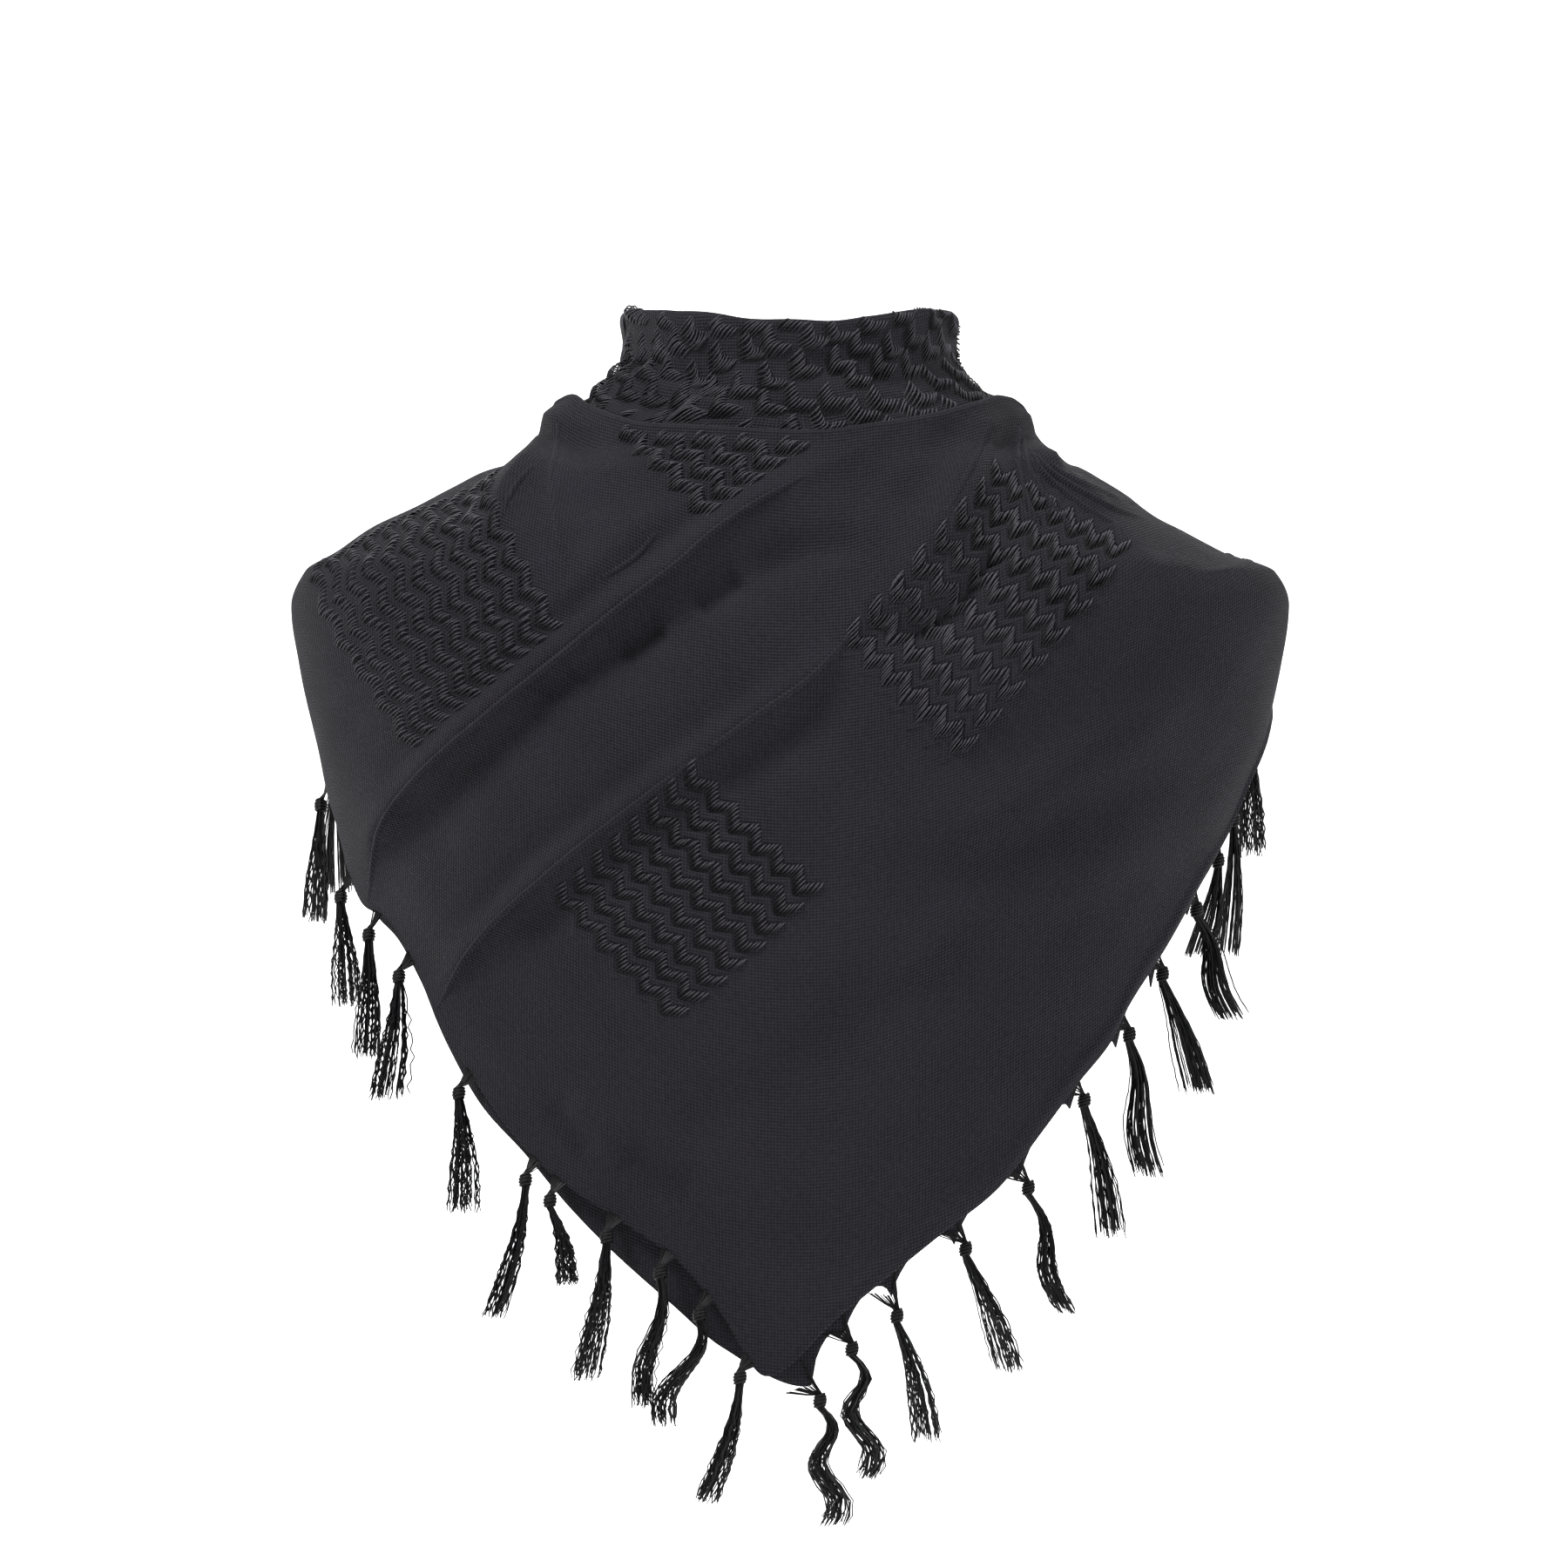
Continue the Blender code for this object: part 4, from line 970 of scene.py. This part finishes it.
def crest_strip(height, half, route, seen_from_front):
    """A thin pressed crest along a route on the front of the outer layer."""
    stops = np.array(route, dtype=float) * MM
    length = lengths_along(stops)[-1]
    steps = np.linspace(0.0, length, max(6, round(length / CREST_STEP)))
    middle = smooth_line(stops, steps)
    along = unit(np.gradient(middle, axis=0))
    aside = np.stack([along[:, 1], -along[:, 0]], axis=-1)
    offsets, profile = np.array(CREST_PROFILE).T
    keys = middle[:, None] + aside[:, None] * (offsets * half * MM)[None, :, None]
    points, normals, _ = seen_from_front.find(keys.reshape(-1, 2))
    fade = np.sin(math.pi * np.clip(steps / steps[-1], 0.02, 0.98))[:, None] ** 0.5
    uneven = 1.0 + 0.18 * np.sin(steps / (19 * MM)) + 0.1 * np.sin(steps / (7 * MM))
    # its sides lie just under the cloth, and so does the rest of it at its two ends
    crown = profile * height * (fade * uneven[:, None]) + CREST_SIDE * (1 - fade)
    heights = np.where(profile < 0, profile, crown)
    lifted = points + normals * (heights.reshape(-1, 1) * MM)
    shape = (len(steps), len(profile))
    return lifted.reshape(*shape, 3), seen_from_front.found.reshape(*shape, 2)


rng = random.Random(21)
body_rows = slice(FOLD_ROWS, FOLD_ROWS + DRAPE_ROWS)
chest = FlatMap(outer_grid[:, body_rows], outer_places[:, body_rows])
arcs = [float_lines(chest, *block_floats(*block, rng)) for block in BLOCKS]
lines = np.concatenate([line for line, _ in arcs])
chest_floats = yarn_object("drape_floats", lines, float_shares(lines),
                           np.concatenate([light for _, light in arcs]), FLOAT_THICKNESS,
                           FLOAT_SIDES, float_yarn)
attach(chest_floats, "root")
strips, strip_places = [], []
front_columns = slice(SIDE_COLUMNS, SIDE_COLUMNS + FRONT_COLUMNS)
front_grid = outer_grid[front_columns, body_rows]
seen_from_front = FlatMap(front_grid, front_grid[..., [0, 2]],
                          outer_places[front_columns, body_rows])
for crest in CRESTS:
    points, places = crest_strip(*crest, seen_from_front)
    strips.append(points)
    strip_places.append(places)
for block in BLOCKS:
    if block[3] < LOOSE_FROM:
        points, places = block_ridges(block[0])
        strips += list(points)
        strip_places += list(places)
ridges = strips_object("float_ridges", strips, strip_places, cotton)
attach(ridges, "root")

# Round the neck the same pattern is scrunched: its floats are longer, looser and tufted, most
# of all at the left, and some curl over the rim.
NECK_FLOAT_PITCH = 1.45 * MM
NECK_ROW_STEP = 12.6 * MM
NECK_TOOTH = 16.0 * MM
NECK_TOP, NECK_FOOT = -62.0 * MM, -5.0 * MM
NECK_HALF_LENGTH = 249.0 * MM
NECK_RIM, RIM_FADE, LEFT_FADE = -70.0 * MM, 22.0 * MM, 80.0 * MM
TUFT_THREADS = 10
neck_map = FlatMap(np.concatenate([band_grid, band_grid[:1]]),
                   thread_places(np.concatenate([band_flat, band_flat[:1] + (BAND_LENGTH, 0)])))
centres, reach, lifts, sway, painted_lower_light = [], [], [], [], []
start = TIP_DOWN / math.sqrt(2)
for row in range(-34, 38):
    for tuft in range(-26, 26):
        first = (tuft + 0.5 * (row % 2) + rng.uniform(-0.25, 0.25)) * NECK_TOOTH
        tuft_b = start + row * NECK_ROW_STEP + rng.uniform(-2.6, 2.6) * MM
        bend, height = rng.uniform(-2.0, 3.6), rng.uniform(0.3, 1.2)
        length, tuft_painted_light = rng.uniform(-2.5, 2.0), rng.uniform(0.0, 0.4)
        across = (tuft_b - start - first) / math.sqrt(2) + TIP_ACROSS
        left = min(1.0, max(0.0, 0.5 - across / LEFT_FADE))
        for thread in range(TUFT_THREADS):
            crown = math.sin(math.pi * (thread + 0.5) / TUFT_THREADS)
            a = start + first + (thread + rng.uniform(-0.25, 0.25)) * NECK_FLOAT_PITCH
            b = tuft_b + (abs(thread - (TUFT_THREADS - 1) / 2) - 2.2) * 1.1 * MM
            across = (b - a) / math.sqrt(2) + TIP_ACROSS
            depth = TIP_DOWN - (a + b) / math.sqrt(2)
            if not NECK_TOP < depth < NECK_FOOT or abs(across) > NECK_HALF_LENGTH:
                continue
            # the floats lie flatter towards the rim
            near_rim = min(1.0, max(0.1, (depth - NECK_RIM) / RIM_FADE))
            centres.append((a, b))
            reach.append((10.5 + length + 3.0 * left * crown) * MM)
            lifts.append(near_rim * (0.5 + (1.2 + 0.9 * left) * crown * height) * MM)
            sway.append(near_rim * bend * (0.6 + 0.6 * left) * crown * MM)
            # painted light of the float's lower end: a random share for its tuft, more towards the
            # left
            painted_lower_light.append(tuft_painted_light + 0.2 * left)
lines, lights = float_lines(neck_map, *(np.array(values) for values in
                                        (centres, reach, lifts, sway, painted_lower_light)))
neck_floats = yarn_object("neck_floats", lines, float_shares(lines), lights, FLOAT_THICKNESS,
                          FLOAT_SIDES, float_yarn)
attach(neck_floats, "root")

# The fringe: every few centimetres the loose ends of the yarn are pulled together through a
# short web, knotted once and left to hang in a limp, slightly frayed tassel.
# length of the tassels behind, in mm
TASSEL_LENGTH = 70.0
OUTER_STAND_OFF = 4.6 * MM
WEB_LENGTH = 7.0 * MM
KNOT_LENGTH = 5.5 * MM
STRANDS = 42
STRAND_POINTS = 19
STRAND_THICKNESS = 0.8 * MM
STRAND_SIDES = 3
# the tassels of the left hem, in the same columns as those of the right one
LEFT_TASSELS = (
    (-206, 3, -60, 1, 1), (-192, -1, -66, 2, 1), (-176, -6, -66, 2, 1), (-148, 2, -64, 2, 1),
    (-117, -15, -72, 3, 1), (-106, 8, -48, 3, 1), (-80, -9, -74, 2, 1), (-56, -8, -70, 3, 2),
    (-37, -16, -60, 5, 2), (-19, -15, -66, 3, 1),
)
LEFT_BEHIND = (95.0, 157.0, 6)
fringe_yarn = yarn_material("fringe_yarn", (0.0008, 0.0008, 0.0009), (0.0085, 0.0082, 0.0095),
                            0.5)


def hem_place(hem_angles, hem_points, hem_out, wanted_x=None, wanted_angle=None):
    """Point on a hem, the direction along it and the way out."""
    if wanted_angle is None:
        front = np.abs(hem_angles) < FRONT_END
        place = np.interp(wanted_x, hem_points[front, 0], np.flatnonzero(front))
    else:
        place = np.interp(wanted_angle, hem_angles, np.arange(len(hem_angles)))
    i = int(min(max(round(float(place)), 2), len(hem_angles) - 3))
    along = hem_points[i + 2] - hem_points[i - 2]
    return hem_points[i], unit(along), hem_out[i]


def tassel_lines(root, along, out, end, swing, halves, stand_off, rng):
    """Strands that leave the hem over a short width, meet in the knot and hang from it."""
    down = np.cross(along, out)
    down = -down if down[2] > 0 else down
    knot = root + down * WEB_LENGTH * 0.6 + np.array((0, 0, -WEB_LENGTH * 0.4)) + out * stand_off
    low = knot - np.array((0.0, 0.0, KNOT_LENGTH))
    level = unit(along * (1.0, 1.0, 0.0))
    level_out = np.array((level[1], -level[0], 0.0))
    level_out = -level_out if level_out @ out < 0 else level_out
    length = abs(end[2]) - WEB_LENGTH - KNOT_LENGTH
    lines, shares = [], []
    # how wide the bundle hangs, and how wide its web is on the hem and how steeply it rises to
    # its sides. It is narrow on the outer hem and fills the points of the scalloped one.
    girth = rng.uniform(5.8, 8.0) * (1.0 - 0.05 * swing)
    spread, rise = (4.0, 0.0) if stand_off > 0 else (8.5, 1.0)
    for _ in range(STRANDS):
        turn = rng.uniform(0, 2 * math.pi)
        radius = math.sqrt(rng.uniform(0.02, 1.0))
        ring = level * math.cos(turn) + level_out * math.sin(turn)
        aside = rng.uniform(-spread, spread)
        start = root + along * aside * MM + down * (rng.uniform(-1.2, 0.2) - rise * abs(aside)) * MM
        start = start + out * (0.3 * MM)
        reach = length * rng.uniform(0.93, 1.03)
        stray = 1.0 if rng.random() < 0.9 else rng.uniform(1.2, 1.5)
        waves = rng.uniform(5.0, 9.0)
        crimp = rng.uniform(0.25, 0.75) * stray
        crimp_turn = rng.uniform(0, 2 * math.pi)
        line = [start, start * 0.45 + knot * 0.55 + down * 1.0 * MM,
                knot + ring * radius * 1.7 * MM, low + ring * radius * 1.9 * MM]
        for step in range(1, STRAND_POINTS - 3):
            t = step / (STRAND_POINTS - 4)
            sway = swing * math.sin(math.pi * halves * t) * (1 - 0.35 * t) * MM
            place = low + np.array((end[0], end[1], 0.0)) * t + level * sway
            place = place - np.array((0.0, 0.0, t * reach))
            body = radius * girth * stray * (0.35 + 0.65 * min(1.0, 1.6 * t)) * (0.8 + 0.35 * t)
            wave = crimp * math.sin(2 * math.pi * waves * t + crimp_turn) * min(1.0, 3 * t)
            line.append(place + ring * (body * MM)
                        + (level * wave - level_out * wave * 0.6) * MM)
        lines.append(line)
        thin = rng.uniform(0.75, 1.1)
        shares.append([thin * s for s in (0.7, 0.8, *[1.0] * (STRAND_POINTS - 3), 0.7)])
    return lines, shares, knot, low, level, level_out


rng = random.Random(11)
outer_hem = outer_grid[:, FOLD_ROWS + DRAPE_ROWS - 1]
outer_out = grid_normals(outer_grid[:, body_rows])[:, -1]
inner_hem = under_grid[:, UNDER_ROWS - 1]
inner_out = grid_normals(under_grid[:, :UNDER_ROWS])[:, -1]
fringe_lines, fringe_shares, knots, names = [], [], [], []
groups = ((LEFT_TASSELS, LEFT_BEHIND, (angles, outer_hem, outer_out), OUTER_STAND_OFF, -1),
          (RIGHT_TASSELS, RIGHT_BEHIND, (under_angles, inner_hem, inner_out), 0.0, 1))
for table, (first_angle, last_angle, behind), hem, stand_off, side in groups:
    wanted = [(hem_place(*hem, wanted_x=row[0] * MM), row[1:]) for row in table]
    for angle in np.linspace(first_angle, last_angle, behind):
        wanted.append((hem_place(*hem, wanted_angle=side * angle), None))
    for (root, along, out), row in wanted:
        if row is None:
            end = np.array((rng.uniform(-4, 4), rng.uniform(4, 10),
                            -TASSEL_LENGTH * rng.uniform(0.9, 1.05)))
            swing, halves = rng.uniform(1, 3), 1
        else:
            end, (swing, halves) = np.array((row[0], 0.0, row[1])), row[2:]
        lines, shares, *knot = tassel_lines(root, along, out, end * MM, swing, halves,
                                            stand_off, rng)
        fringe_lines += lines
        fringe_shares += shares
        knots.append(knot)
        names.append(f"tassel_{len(knots):02d}")
fringe_shares = np.array(fringe_shares)
fringe = yarn_object("fringe_strands", np.array(fringe_lines), fringe_shares,
                     np.clip(fringe_shares, 0.0, 1.0), STRAND_THICKNESS, STRAND_SIDES,
                     fringe_yarn)
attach(fringe, "root")
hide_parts(*names)

# Each knot is the bundle of yarn wound round itself and pulled tight by hand: four close coils,
# thickest in the middle.
KNOT_RADIUS = 2.6 * MM
KNOT_COILS = 4
COIL_STEPS = 12
COIL_THICKNESS = 1.5 * MM
COIL_SIDES = 6
coil_lines = []
for top, low, level, level_out in knots:
    for coil in range(KNOT_COILS):
        line = []
        for step in range(COIL_STEPS + 1):
            turn = 2 * math.pi * step / COIL_STEPS
            share = (coil + step / COIL_STEPS * 0.8) / KNOT_COILS
            radius = KNOT_RADIUS * (0.55 + 0.45 * math.sin(math.pi * (0.15 + 0.7 * share)))
            centre = top * (1 - share) + low * share
            line.append(centre + (level * math.cos(turn) + level_out * math.sin(turn)) * radius
                        + np.array((0, 0, 0.6 * MM * math.cos(turn))))
        coil_lines.append(line)
coil_lines = np.array(coil_lines)
full = np.ones(coil_lines.shape[:2])
coils = yarn_object("fringe_knots", coil_lines, full, 0.7 * full, COIL_THICKNESS, COIL_SIDES,
                    fringe_yarn)
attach(coils, "root")

# The scarf hangs before a pale sweep of floor and backdrop. Three soft lamps light it, and a
# long lens level with the chest looks at it.
FLOOR = -0.545
SWEEP_FRONT, SWEEP_BEND, SWEEP_TOP, SWEEP_HALF_WIDTH = -4.0, 1.2, 4.5, 5.0
BEND_STEPS = 16
sweep = [(SWEEP_FRONT, 0.0), (SWEEP_BEND, 0.0)]
for step in range(1, BEND_STEPS + 1):
    turn = math.pi / 2 * step / BEND_STEPS
    sweep.append((SWEEP_BEND * (1 + math.sin(turn)), SWEEP_BEND * (1 - math.cos(turn))))
sweep.append((2 * SWEEP_BEND, SWEEP_TOP))
points = [(x, y, FLOOR + z) for y, z in sweep for x in (-SWEEP_HALF_WIDTH, SWEEP_HALF_WIDTH)]
faces = [(2 * k, 2 * k + 1, 2 * k + 3, 2 * k + 2) for k in range(len(sweep) - 1)]
mesh = bpy.data.meshes.new("sweep")
mesh.from_pydata(points, [], faces)
mesh.shade_smooth()
# only the side of the paper that faces the scarf shows, so that it can be seen from behind
paper, n = new_material("pale_paper", (("facing", "ShaderNodeNewGeometry"),
                                       ("one_sided", "ShaderNodeMath", "SUBTRACT")))
set_and_join(paper.node_tree, n, (
    ("shader", "Base Color", (0.9, 0.9, 0.9, 1)), ("shader", "Roughness", 0.9),
    ("shader", "Emission Color", (1, 1, 1, 1)), ("shader", "Emission Strength", 0.6),
    ("one_sided", 0, 1.0),
), (
    ("facing", "Backfacing", "one_sided", 1), ("one_sided", 0, "shader", "Alpha"),
))
mesh.materials.append(paper)
backdrop = placed("sweep", mesh)
backdrop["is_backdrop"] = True

scene = bpy.context.scene
scene.view_settings.view_transform = "Standard"
world = bpy.data.worlds.new("studio")
world.use_nodes = True
world.node_tree.nodes["Background"].inputs["Color"].default_value = (1.0, 1.0, 1.0, 1.0)
world.node_tree.nodes["Background"].inputs["Strength"].default_value = 0.22
scene.world = world
AIM = Vector((0, 0, -0.15))
# name, place, power in watts and size in metres
LAMPS = (
    ("key", (-1.35, -0.75, 1.9), 88.0, 0.6),
    ("fill", (2.1, -1.0, 0.6), 34.0, 1.0),
    ("top", (0.4, -0.5, 2.0), 18.0, 0.8),
)
for name, place, power, size in LAMPS:
    lamp = bpy.data.lights.new(name, "AREA")
    lamp.energy, lamp.size = power, size
    holder = placed(name, lamp)
    holder.location = place
    holder.rotation_euler = (AIM - Vector(place)).to_track_quat("-Z", "Y").to_euler()

DISTANCE = 5.2
VIEW_WIDTH, VIEW_X, VIEW_Z = 0.738, -0.0029, -0.164
lens = bpy.data.cameras.new("camera")
lens.sensor_width = 36.0
lens.lens = lens.sensor_width * DISTANCE / VIEW_WIDTH
lens.clip_end = 60.0
camera = placed("camera", lens)
camera.location = (VIEW_X, -DISTANCE, VIEW_Z)
camera.rotation_euler = (math.radians(90), 0, 0)
scene.camera = camera

low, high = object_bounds()
